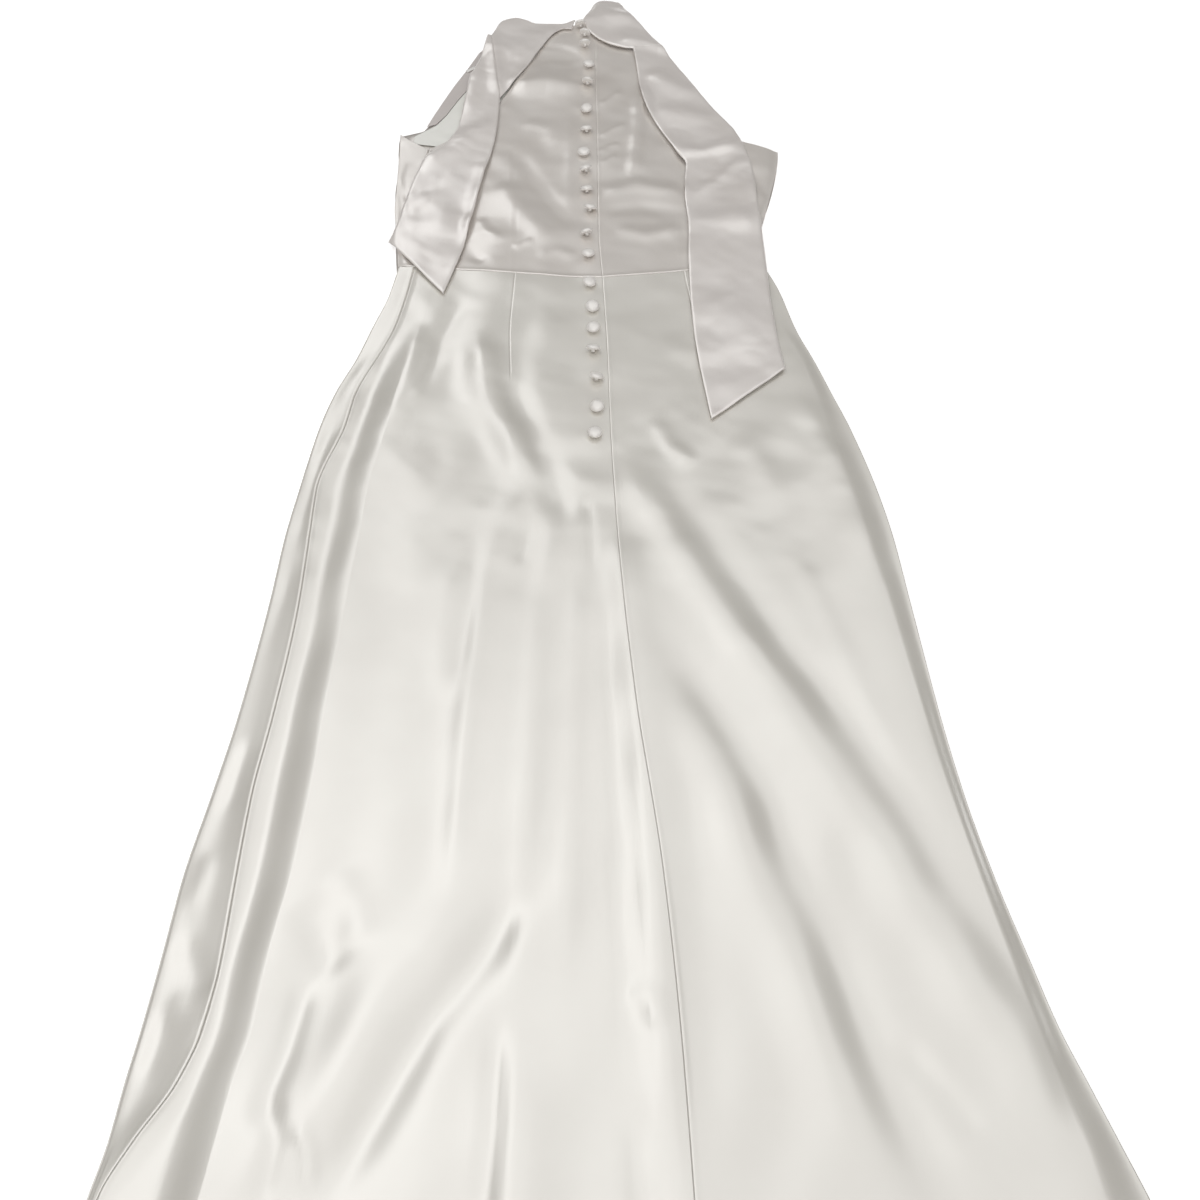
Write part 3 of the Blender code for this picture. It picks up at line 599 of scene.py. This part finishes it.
def cloth(name, x, y, z, thickness=CLOTH):
    rows, columns = x.shape
    data = bmesh.new()
    data.loops.layers.uv.new("UVMap")
    bmesh.ops.create_grid(
        data, x_segments=columns - 1, y_segments=rows - 1, size=0.5, calc_uvs=True
    )
    for vert in data.verts:
        column = round((vert.co.x + 0.5) * (columns - 1))
        row = round((vert.co.y + 0.5) * (rows - 1))
        vert.co = metres(x[row, column], y[row, column], z[row, column])
    mesh = bpy.data.meshes.new(name)
    data.to_mesh(mesh)
    data.free()
    mesh.shade_smooth()
    piece = bpy.data.objects.new(name, mesh)
    bpy.context.scene.collection.objects.link(piece)
    wall = piece.modifiers.new("cloth", "SOLIDIFY")
    wall.thickness = thickness / 1000
    wall.offset = -1
    return piece


def stand_in(piece, name):
    """The piece takes the place of the frame's node of that name."""
    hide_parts(name)
    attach(piece, "root")


def dress_piece(name, x, y, z, material, thickness=CLOTH):
    """A finished sheet of cloth in the place of its node."""
    piece = cloth(name + "_cloth", x, y, z, thickness)
    piece.data.materials.append(material)
    stand_in(piece, name)


# %% [markdown]
# ## Satin
# Satin is a weave whose warp floats over four or more weft threads, so its face is nearly all
# parallel filament and reflects far more than a plain weave. Laid flat, it shows what it mirrors:
# bright where that is the overhead light, and grey where it is the room. A principled shader with
# a raised index does that. Fine streaks along the warp break the highlight up.

# %% One function for nodes, one for colours


def colour(hex_code):
    channels = [int(hex_code[i : i + 2], 16) / 255 for i in (1, 3, 5)]
    linear = [c / 12.92 if c <= 0.04045 else ((c + 0.055) / 1.055) ** 2.4 for c in channels]
    return (*linear, 1)


def add_node(material, kind, inputs=None, **settings):
    """A node with its settings. An input is a value, or another node's output, which is linked."""
    node = material.node_tree.nodes.new(kind)
    for name, value in settings.items():
        setattr(node, name, value)
    for name, value in (inputs or {}).items():
        if isinstance(value, bpy.types.NodeSocket):
            material.node_tree.links.new(value, node.inputs[name])
        else:
            node.inputs[name].default_value = value
    return node


# %% Satin material
MOTTLE_SIZE = 0.07  # m, the cloudy tone of a handled satin
STREAK_WIDTH = 0.0011  # m, coarser than the real filaments, which are too fine to show
STREAK_STRETCH = 0.05  # the streaks are twenty times as long as wide
STREAK_DEPTH = 0.00012


def satin(name, light, shade, roughness, turn=0.0, index=2.4):
    """light and shade are the cloth's two tones, and turn is the warp's direction in degrees."""
    material = bpy.data.materials.new(name)
    material.use_nodes = True
    material.node_tree.nodes.clear()
    place = add_node(material, "ShaderNodeTexCoord").outputs["Object"]
    warp = add_node(
        material,
        "ShaderNodeMapping",
        {"Vector": place, "Rotation": (0, 0, math.radians(turn)), "Scale": (1, STREAK_STRETCH, 1)},
    ).outputs["Vector"]
    mottle = add_node(
        material,
        "ShaderNodeTexNoise",
        {"Vector": place, "Scale": 1 / MOTTLE_SIZE, "Detail": 3.0, "Roughness": 0.55},
    ).outputs["Fac"]
    tone = add_node(
        material,
        "ShaderNodeMapRange",
        {"Value": mottle, "From Min": 0.3, "From Max": 0.7},
    ).outputs["Result"]
    mixed = add_node(
        material,
        "ShaderNodeMix",
        {"Factor": tone, "A": colour(shade), "B": colour(light)},
        data_type="RGBA",
    )
    streaks = add_node(
        material,
        "ShaderNodeTexNoise",
        {"Vector": warp, "Scale": 1 / STREAK_WIDTH, "Detail": 2.0},
    ).outputs["Fac"]
    bump = add_node(
        material,
        "ShaderNodeBump",
        {"Height": streaks, "Strength": 0.15, "Distance": STREAK_DEPTH},
    ).outputs["Normal"]
    shader = add_node(
        material,
        "ShaderNodeBsdfPrincipled",
        {
            "Base Color": mixed.outputs["Result"],
            "Roughness": roughness,
            "IOR": index,
            "Specular IOR Level": 1.0,
            "Normal": bump,
        },
    )
    add_node(material, "ShaderNodeOutputMaterial", {"Surface": shader.outputs["BSDF"]})
    return material


skirt_satin = satin("ivory_satin_skirt", "#E7E4DC", "#E2DED6", 0.27)
# The bodice is the skirt's satin painted a little darker and pinker: painted shade for the dimmer
# light on it.
shaded_bodice_satin = satin("ivory_satin_bodice_painted_shade", "#E6E0DA", "#DFD8D1", 0.28)
# The ties are the skirt's satin painted lighter: painted light for the brighter light they catch.
lit_tie_satin = satin("ivory_satin_tie_painted_light", "#F4EEEA", "#EEE7E2", 0.28, 20)
# The facing is the dress's own satin painted mauve-grey: painted shade for the dim inside of the
# armhole.
shaded_facing_satin = satin("satin_facing_painted_shade", "#CBC2BE", "#C2B8B4", 0.42, 30)
lining_cloth = satin("white_lining", "#FAFAF6", "#F1F2EC", 0.55, 12, 1.5)
ribbon_cloth = satin("white_ribbon", "#F5F4F1", "#EEEDEA", 0.45, 35, 1.5)
print("cloths:", [m.name for m in bpy.data.materials if "satin" in m.name])

# %% [markdown]
# ## The skirt
# Two back panels meet at the centre back. The front is one panel under them, which turns up round
# the left edge and runs on the upper side as far as the side seam.

# %% Rows of the skirt
SKIRT_ROWS = -SKIRT_LENGTH + SKIRT_LENGTH * stations(SKIRT_LENGTH, SKIRT_ROW_STEP)
HEM_TURN_UP = 17.0  # its upper end fades within HEM_FADE, and its edge is pressed down
HEM_FADE, HEM_LAYER, HEM_PRESS = 3.0, 0.25, 0.5
HALF_HEM = float(skirt["right"](-SKIRT_LENGTH))


def skirt_level(x, y, back=1.0):
    waist = waist_line(x) * back * ease(-WAIST_FADE, 0, y) - SEWN_GAP / 2
    hem = HEM_RISE * ease(-0.7 * SKIRT_LENGTH, -SKIRT_LENGTH, y) * (x / HALF_HEM) ** 2
    return y + waist + hem


def hem_allowance(y):
    """The turned-up hem: a second layer under the panel, and a pressed edge."""
    from_hem = y + SKIRT_LENGTH
    layer = HEM_LAYER * ease(HEM_TURN_UP, HEM_TURN_UP - HEM_FADE, from_hem)
    return layer - HEM_PRESS * bell(from_hem, 1.2)


# %% Back skirt panels
BEFORE_ROLL = 4.0  # how far before the right edge's turn its close columns start
DART_WELT, DART_GROOVE = 0.15, 0.35
DART_RUN_OUT = 12  # how far it takes to vanish below, and half of that above


def dart_groove(x, y, line, ends):
    """A dart is sewn shut, so only its seam shows, and it runs out softly at its point."""
    low, high = ends
    shown = ease(low, low + DART_RUN_OUT, y) * ease(high, high - DART_RUN_OUT / 2, y)
    distance = x - line(y)
    ridge = DART_WELT * bell(distance + 1.8, 2.2)
    return shown * (ridge - DART_GROOVE * bell(distance, 0.6))


def back_skirt(name, guides, widths, dart, dart_ends, left_welt):
    x = columns_between(guides, widths)(SKIRT_ROWS)
    y = np.repeat(SKIRT_ROWS[:, None], x.shape[1], axis=1)
    z = upper_face(x, y) + hem_allowance(y) + dart_groove(x, y, dart, dart_ends)
    z += welt(x - x[:, :1], left_welt)
    dress_piece(name, x, skirt_level(x, y), z, skirt_satin)


back_skirt(
    "back_skirt_left",
    [
        lambda y: skirt["seam"](y) + SEWN_GAP / 2,
        skirt["fold"],
        dart_left,
        lambda y: centre_back(y) - SEWN_GAP / 2,
    ],
    [40, 125, 95],
    dart_left,
    DART_LEFT_ENDS,
    0.7,
)
back_skirt(
    "back_skirt_right",
    [
        lambda y: centre_back(y) + SEWN_GAP / 2,
        dart_right,
        lambda y: skirt["roll"](y) - BEFORE_ROLL,
        skirt["right"],
    ],
    [100, 110, 18],
    dart_right,
    DART_RIGHT_ENDS,
    0.3,
)

# %% [markdown]
# The front's outline is drawn as one path per row: flat along the floor from the right edge,
# round the left edge as a half circle, and over the top to the seam.

# %% Front skirt
UNDER_COLUMNS, TURN_COLUMNS = 12, 16
STRIP_WIDTH, STRIP_STEP = 24, 3.0  # the part on the upper side, beside the seam


def front_skirt():
    rows = -SKIRT_LENGTH + SKIRT_LENGTH * stations(SKIRT_LENGTH, FRONT_STEP)
    y = rows[:, None]
    left, seam, right = (skirt[name](y) for name in ("left", "seam", "right"))
    radius = upper_face(left + BASE_HEIGHT / 2, y, fine=False) / 2
    under = np.linspace(0, 1, UNDER_COLUMNS + 1)[None, :-1]
    turn = np.linspace(0, math.pi, TURN_COLUMNS + 1)[None, :]
    over = stations(STRIP_WIDTH, STRIP_STEP, start=False)[None, 1:]
    end = seam - SEWN_GAP / 2
    top_x = left + radius + (end - left - radius) * over
    under_x = right + (left + radius - right) * under
    turn_x = left + radius - radius * np.sin(turn)
    x = np.hstack([under_x, turn_x, top_x])
    full_y = np.repeat(y, x.shape[1], axis=1)
    flat = np.zeros((len(rows), under.shape[1]))
    roll = radius - radius * np.cos(turn)
    top_y = full_y[:, -top_x.shape[1] :]
    lift = ease(0, 12, top_x - left - radius)
    plain = upper_face(top_x, top_y, fine=False)
    top = plain + (upper_face(top_x, top_y) - plain) * lift
    top += welt(end - top_x, 0.4) * lift
    z = np.hstack([flat, roll, top])
    back = np.hstack([0 * flat, np.maximum(-np.cos(turn), 0) + 0 * radius, 1 + 0 * top])
    dress_piece(
        "front_skirt", x, skirt_level(x, full_y, back), z, skirt_satin
    )


front_skirt()

# %% [markdown]
# ## The bodice
# The front lies lowest. The side pieces come round from it, and the back's two halves meet at the
# centre back, each with one dart from the waist.

# %% Front bodice
FRONT_COLUMNS = 24
ROWS_PER_POINT = 4  # rows from one point of the table to the next


def front_bodice():
    last = len(FRONT_BODICE) - 1
    shares = np.linspace(0, last, ROWS_PER_POINT * last + 1)
    levels = np.interp(shares, range(last + 1), [row.y for row in FRONT_BODICE])[:, None]
    across = np.linspace(0, 1, FRONT_COLUMNS + 1)[None, :]
    x = front_right(levels) + (front_left(levels) - front_right(levels)) * across
    y = np.repeat(levels + SEAM_GAP / 2, x.shape[1], axis=1)
    dress_piece(
        "front_bodice", x, y, 0 * x, shaded_bodice_satin, thickness=BODY_WALL
    )


front_bodice()

# %% Panels between two edges


def between_edges(table, columns, rows, smooth=False):
    """The places of a piece between its two long edges, for shares across it and along it."""
    index = np.arange(len(table))
    at = rows[:, None] * (len(table) - 1)
    read = {}
    for name in Edges._fields:
        values = [getattr(row, name) for row in table]
        line = line_through(index, values) if smooth else None
        read[name] = line(at) if smooth else np.interp(at, index, values)
    x = read["left_x"] + (read["right_x"] - read["left_x"]) * columns[None, :]
    y = read["left_y"] + (read["right_y"] - read["left_y"]) * columns[None, :]
    return x, y


# %% Back and side bodice


def bodice_panel(name, table, width, length, left_inset, right_inset, welts, dart=None):
    columns = stations(width, BODICE_STEP)
    rows = stations(length, BODICE_STEP)
    x, y = between_edges(table, columns, rows)
    x = x + left_inset * (1 - columns[None, :]) - right_inset * columns[None, :]
    from_left, from_right = x - x[:, :1], x[:, -1:] - x
    from_waist = y.copy()
    y = y + (waist_line(x) + SEWN_GAP / 2) * ease(WAIST_FADE, 0, y)
    z = upper_face(x, y) + waist_ridge(from_waist)
    z += welt(from_left, welts[0]) + welt(from_right, welts[1])
    if dart:
        z += dart_groove(x, y, *dart)
    dress_piece(name, x, y, z, shaded_bodice_satin)


half = SEWN_GAP / 2
left_dart, right_dart = (dart_left, DART_LEFT_ENDS), (dart_right, DART_RIGHT_ENDS)
bodice_panel("back_bodice_left", BACK_BODICE_LEFT, 175, 412, half, half, (0.4, 0), left_dart)
bodice_panel("back_bodice_right", BACK_BODICE_RIGHT, 138, 412, half, half, (0.25, 0.3), right_dart)
bodice_panel("side_bodice_left", SIDE_BODICE_LEFT, 25, 200, 0, half, (0, 0.4))
bodice_panel("side_bodice_right", SIDE_BODICE_RIGHT, 30, 195, half, 0, (0.4, 0))

# %% [markdown]
# ## Inside the left armhole
# Through the open armhole the front's inside shows: a strip of satin facing along its edge, and
# the white lining behind it.

# %% Facing and lining
LINING_FOLDS = [
    Fold("lining_swell", -150, 262, -146, 240, -160, 214, 7, 0.9, 0),
    Fold("lining_crease", -140, 280, -136, 250, -146, 222, 4, -0.5, 0),
    Fold("lining_tip_swell", -176, 222, -170, 210, -150, 206, 5, 0.7, 0),
]


def inside_piece(name, table, width, length, material, folds, sewn_on=()):
    x, y = between_edges(table, stations(width, INSIDE_STEP), stations(length, INSIDE_STEP))
    z = np.full(x.shape, FRONT_TOP + LINING_WALL) + folds_lift(x, y, folds)
    dress_piece(name, x, y, z, material, THIN_CLOTH)


def ribbon_tab():
    """The end of a narrow ribbon on the facing. It is too small to count as a sheet of its own."""
    length, width, angle = 12.0, 4.0, math.radians(35)
    middle_x, middle_y = -143.0, 327.0
    across = (np.linspace(0, 1, 13)[None, :] - 0.5) * length
    up = (np.linspace(0, 1, 5)[:, None] - 0.5) * width
    x = middle_x + across * math.cos(angle) - up * math.sin(angle)
    y = middle_y + across * math.sin(angle) + up * math.cos(angle)
    rest = FRONT_TOP + LINING_WALL + SEAM_GAP + LINING_WALL
    free_end = 0.8 * ease(-length / 2, length / 2, across)
    tab = cloth("ribbon_tab_cloth", x, y, rest + free_end + 0 * up, THIN_CLOTH)
    tab.data.materials.append(ribbon_cloth)
    stand_in(tab, "ribbon_tab")
    return tab


inside_piece(
    "armhole_facing_left",
    ARMHOLE_FACING,
    16,
    160,
    shaded_facing_satin,
    [],
    sewn_on=[ribbon_tab()],
)
inside_piece("front_lining", FRONT_LINING, 50, 190, lining_cloth, LINING_FOLDS)

# %% [markdown]
# ## The ties
# Each tie is a long bag of satin, turned out and pressed, that runs on from the neck band. It
# lies on the dress, so its face is the dress's own face, moved up by a gap and its thickness,
# with its own folds on top. Its edges are pressed folds, so they round down.

# %% Tie folds
TIE_FOLDS = [
    Fold("left_turn", -124, 392, -116, 330, -107, 258, 9, 2.2, 0),
    Fold("left_neck_swell", -60, 388, -84, 372, -112, 340, 16, 1.2, 0),
    Fold("left_neck_edge", -46, 404, -66, 384, -100, 300, 8, 0.8, 0),
    Fold("left_fall_light", -132, 350, -138, 290, -142, 240, 9, 1.4, 0),
    Fold("left_bend", -190, 152, -154, 180, -108, 240, 13, 3.2, 0),
    Fold("left_fall_swell", -184, 120, -160, 90, -148, 40, 17, 1.8, 0),
    Fold("left_standing_edge", -112, 176, -122, 110, -134, 30, 9, 2.4, 0),
    Fold("right_loop", -12, 440, 8, 436, 34, 402, 16, 3.4, 0),
    Fold("right_turn", 20, 376, 52, 368, 86, 348, 8, 2.4, 0),
    Fold("right_upper_swell", 48, 322, 76, 290, 104, 268, 13, 2.8, 0),
    Fold("right_middle_swell", 58, 246, 88, 240, 124, 232, 12, 1.6, 0),
    Fold("right_notch", 78, 178, 108, 180, 152, 194, 8, 3.0, 0),
    Fold("right_diagonal", 92, 108, 122, 138, 152, 172, 7, 1.8, 0),
    Fold("right_lower_swell", 82, 74, 120, 72, 162, 76, 14, 2.0, 0),
    Fold("right_end_swell", 100, -30, 124, -60, 140, -110, 20, 1.6, 0),
]

NECK_EDGE = (414, 446)  # past the neck nothing lies under a tie, so it sinks
SINKS = 0.8  # share of the height that it loses there


def tie_rest(x, y):
    past_neck = ease(*NECK_EDGE, y)
    around = [(0, 0), (-TIE_REACH, 0), (TIE_REACH, 0), (0, -TIE_REACH), (0, TIE_REACH)]
    under = np.max([upper_face(x + dx, y + dy) for dx, dy in around], axis=0) + SEAM_GAP
    under = under + (SEAM_GAP - under) * past_neck * SINKS
    return under + TIE_WALL + np.maximum(folds_lift(x, y, TIE_FOLDS), 0)


# %% Tie pieces
EDGE_DROP, EDGE_WIDTH = 0.6, 1.0  # how a pressed edge rounds down


def tie(name, table, width, length):
    columns = stations(width, TIE_STEP)
    rows = stations(length, TIE_STEP)
    x, y = between_edges(table, columns, rows, smooth=True)
    wide = 0.5 * soft_noise(x, y, 26, 22, 41.0)
    small = 0.16 * soft_noise(x, y, 11, 9, 47.0)
    z = tie_rest(x, y) + wide + small
    from_edge = np.minimum(columns, 1 - columns)[None, :] * width
    z -= EDGE_DROP * bell(from_edge, EDGE_WIDTH)
    from_end = rows if name.endswith("neck") else 1 - rows  # the other end runs on
    z -= EDGE_DROP * bell(from_end[:, None] * length, EDGE_WIDTH)
    dress_piece(name, x, y, z, lit_tie_satin, TIE_CLOTH)


tie("tie_left_neck", TIE_LEFT_NECK, 90, 120)
tie("tie_left_fall", TIE_LEFT_FALL, 70, 430)
tie("tie_right_neck", TIE_RIGHT_NECK, 70, 100)
tie("tie_right_fall", TIE_RIGHT_FALL, 72, 520)

# %% [markdown]
# ## Covered buttons
# A covered button is a domed shell with the dress's own satin stretched over it and gathered on
# to a shank. Turned as a profile it gives the dome, the rolled rim and the shank in one piece,
# and small radial pleats under the rim stand for the gathered cloth. Each leans on its shank as
# it lies.

# %% Button table
Button = namedtuple("Button", "x y tilt heading")
BUTTONS = [
    Button(-21.6, 399, 62, 100),
    Button(-17.6, 381, 66, 80),
    Button(-16.6, 361, 64, 95),
    Button(-12.8, 331, 12, 60),
    Button(-13.7, 292, 60, 85),
    Button(-14, 251, 8, 200),
    Button(-14, 215, 34, 100),
    Button(-16.6, 179, 6, 150),
    Button(-13.6, 150, 42, 120),
    Button(-13.2, 120, 32, 95),
    Button(-10.2, 91, 36, 75),
    Button(-12.4, 53, 50, 110),
    Button(-11.4, 26, 14, 90),
    Button(-10.2, -13.5, 8, 30),
    Button(-6.9, -45, 10, 260),
    Button(-5.6, -73, 8, 170),
    Button(-6.3, -103, 44, 85),
    Button(-3.6, -137, 34, 70),
    Button(-2.1, -170, 8, 210),
    Button(-4.4, -201, 6, 80),
]
BUTTON_RADIUS = 6.35
BUTTON_HEIGHT = 4.7
SHANK_RADIUS = 1.6
SHANK_HEIGHT = 2.2
BUTTON_STEPS = 48
DOME_POINTS = 9
PLEATS = 12
PLEAT_HEIGHT = 0.00016
# The buttons are the dress's own satin painted much lighter: painted light on domes that mirror
# the dim room.
lit_button_satin = satin("ivory_satin_button_painted_light", "#FCF9F6", "#F7F3EF", 0.42, 0, 1.9)

# %% Turning a button


def button_profile():
    """Radius and height from the shank's foot up over the rim to the top of the dome."""
    rim = SHANK_HEIGHT + 0.32 * BUTTON_HEIGHT
    points = [(0, 0), (SHANK_RADIUS * 1.15, 0)]
    points += [(SHANK_RADIUS, 0.5), (SHANK_RADIUS, SHANK_HEIGHT - 0.3)]
    points += [(2.6, SHANK_HEIGHT), (0.84 * BUTTON_RADIUS, SHANK_HEIGHT + 0.2)]
    points += [(0.97 * BUTTON_RADIUS, SHANK_HEIGHT + 0.17 * BUTTON_HEIGHT), (BUTTON_RADIUS, rim)]
    top = SHANK_HEIGHT + BUTTON_HEIGHT
    for index in range(1, DOME_POINTS):
        angle = math.pi / 2 * index / DOME_POINTS
        radius = BUTTON_RADIUS * math.cos(angle) ** 0.8
        points.append((radius, rim + (top - rim) * math.sin(angle)))
    return points + [(0, top)]


def button(number, row):
    data = bmesh.new()
    verts = [data.verts.new((r / 1000, 0, h / 1000)) for r, h in button_profile()]
    edges = [data.edges.new(pair) for pair in zip(verts, verts[1:])]
    bmesh.ops.spin(
        data,
        geom=verts + edges,
        cent=(0, 0, 0),
        axis=(0, 0, 1),
        angle=math.tau,
        steps=BUTTON_STEPS,
        use_merge=True,
    )
    bmesh.ops.remove_doubles(data, verts=data.verts, dist=0.00001)
    for vert in data.verts:
        around = math.atan2(vert.co.y, vert.co.x)
        out = math.hypot(vert.co.x, vert.co.y) * 1000
        gathered = bell(vert.co.z * 1000 - SHANK_HEIGHT - 0.5, 0.9) * ease(2.2, 5.5, out)
        vert.co.z += PLEAT_HEIGHT * gathered * math.sin(PLEATS * around + number)
    bmesh.ops.recalc_face_normals(data, faces=data.faces)
    lean = Matrix.Rotation(math.radians(row.tilt), 4, "Y")
    turn = Matrix.Rotation(math.radians(row.heading), 4, "Z")
    bmesh.ops.transform(data, matrix=turn @ lean, verts=data.verts)
    offsets = np.array([vert.co for vert in data.verts]) * 1000
    faces = upper_face(row.x + offsets[:, 0], row.y + offsets[:, 1])
    height = float((faces - offsets[:, 2]).max()) + 0.15
    bmesh.ops.translate(data, vec=Vector(metres(row.x, row.y, height)), verts=data.verts)
    mesh = bpy.data.meshes.new(f"button_{number:02d}_satin")
    data.to_mesh(mesh)
    data.free()
    mesh.shade_smooth()
    mesh.materials.append(lit_button_satin)
    piece = bpy.data.objects.new(mesh.name, mesh)
    bpy.context.scene.collection.objects.link(piece)
    stand_in(piece, f"button_{number:02d}")


for number, row in enumerate(BUTTONS, start=1):
    button(number, row)
print("buttons:", len(BUTTONS))

# %% [markdown]
# ## Floor, light and camera
# The dress is cut out on white, so the floor is a white plane with a glow of its own. Satin shows
# what it mirrors, so each light has its place on the cloth. A large soft box hangs overhead: the
# flat skirt mirrors it from the knee down, and the bodice doesn't. Under its left half hang two
# more, for the left panels and the left flanks of the long folds. Two small ones far behind the
# neck brighten the left hip and tie, and one at the hem fills the folds' near sides.

# %% Floor
FLOOR_GLOW = 0.45
FLOOR_GAP = 0.0002  # keeps it clear of the cloth's lower face


def floor():
    data = bmesh.new()
    bmesh.ops.create_grid(data, x_segments=1, y_segments=1, size=6.0)
    mesh = bpy.data.meshes.new("floor")
    data.to_mesh(mesh)
    data.free()
    paint = bpy.data.materials.new("pale_floor")
    paint.use_nodes = True
    shader = paint.node_tree.nodes["Principled BSDF"]
    shader.inputs["Base Color"].default_value = colour("#FAFAFA")
    shader.inputs["Roughness"].default_value = 0.9
    shader.inputs["Specular IOR Level"].default_value = 0.1
    shader.inputs["Emission Color"].default_value = colour("#FFFFFF")
    shader.inputs["Emission Strength"].default_value = FLOOR_GLOW
    mesh.materials.append(paint)
    plane = bpy.data.objects.new("floor", mesh)
    plane.location.z = -FLOOR_GAP
    bpy.context.scene.collection.objects.link(plane)


floor()

# %% Lights


def soft_box(name, place, target, size, power, tint):
    light = bpy.data.lights.new(name, "AREA")
    light.shape = "RECTANGLE"
    light.size, light.size_y = size
    light.energy = power
    light.color = colour(tint)[:3]
    lamp = bpy.data.objects.new(name, light)
    lamp.location = place
    lamp.rotation_euler = (Vector(target) - Vector(place)).to_track_quat("-Z", "Y").to_euler()
    bpy.context.scene.collection.objects.link(lamp)


soft_box("overhead_box", (0.24, 0.13, 1.7), (0.24, 0.13, 0.0), (2.24, 2.46), 9.5, "#FFFEFB")
soft_box("window_box", (-0.44, -0.18, 1.6), (-0.44, -0.18, 0.0), (1.26, 1.8), 1.7, "#FFFEFB")
soft_box("side_box", (-0.66, 0.14, 1.5), (-0.66, 0.14, 0.0), (0.5, 1.15), 1.0, "#FFFEFB")
soft_box("left_box", (-0.85, 2.1, 1.4), (-0.05, 0.4, 0.0), (0.7, 0.9), 2.2, "#FFFEFC")
soft_box("hip_box", (-0.76, 1.26, 1.4), (-0.09, 0.1, 0.0), (0.8, 0.6), 1.1, "#FFFEFC")
soft_box("front_box", (0.0, -2.2, 1.2), (0.0, 0.1, 0.0), (2.2, 1.0), 14.5, "#FFFCF8")

# %% Room
# It is dim at the horizon and lighter overhead, so a slope shows by what it mirrors.
world = bpy.data.worlds.new("surround")
world.use_nodes = True
world.node_tree.nodes["Background"].inputs["Color"].default_value = colour("#F8F7F6")
direction = add_node(world, "ShaderNodeTexCoord").outputs["Generated"]
height = add_node(world, "ShaderNodeSeparateXYZ", {"Vector": direction}).outputs["Z"]
strength = add_node(
    world,
    "ShaderNodeMapRange",
    {"Value": height, "From Min": 0.42, "From Max": 0.86, "To Min": 0.17, "To Max": 0.52},
    interpolation_type="SMOOTHSTEP",
).outputs["Result"]
world.node_tree.links.new(strength, world.node_tree.nodes["Background"].inputs["Strength"])
bpy.context.scene.world = world
bpy.context.scene.view_settings.view_transform = "Standard"

# %% Camera
CAMERA_HEIGHT = 0.815  # 0.81 m over the upper face of the cloth
CAMERA_BEHIND_WAIST = 0.882
LOOKS_DOWN = 57.7

lens = bpy.data.cameras.new("photo_camera")
lens.lens = 36.0
lens.sensor_width = 36.0
camera = bpy.data.objects.new("photo_camera", lens)
waist_x, waist_y, _ = metres(0, 0, 0)
camera.location = (waist_x, waist_y - CAMERA_BEHIND_WAIST, CAMERA_HEIGHT)
camera.rotation_euler = (math.radians(90 - LOOKS_DOWN), 0, 0)
bpy.context.scene.collection.objects.link(camera)
bpy.context.scene.camera = camera
print("camera at", tuple(round(v, 3) for v in camera.location))
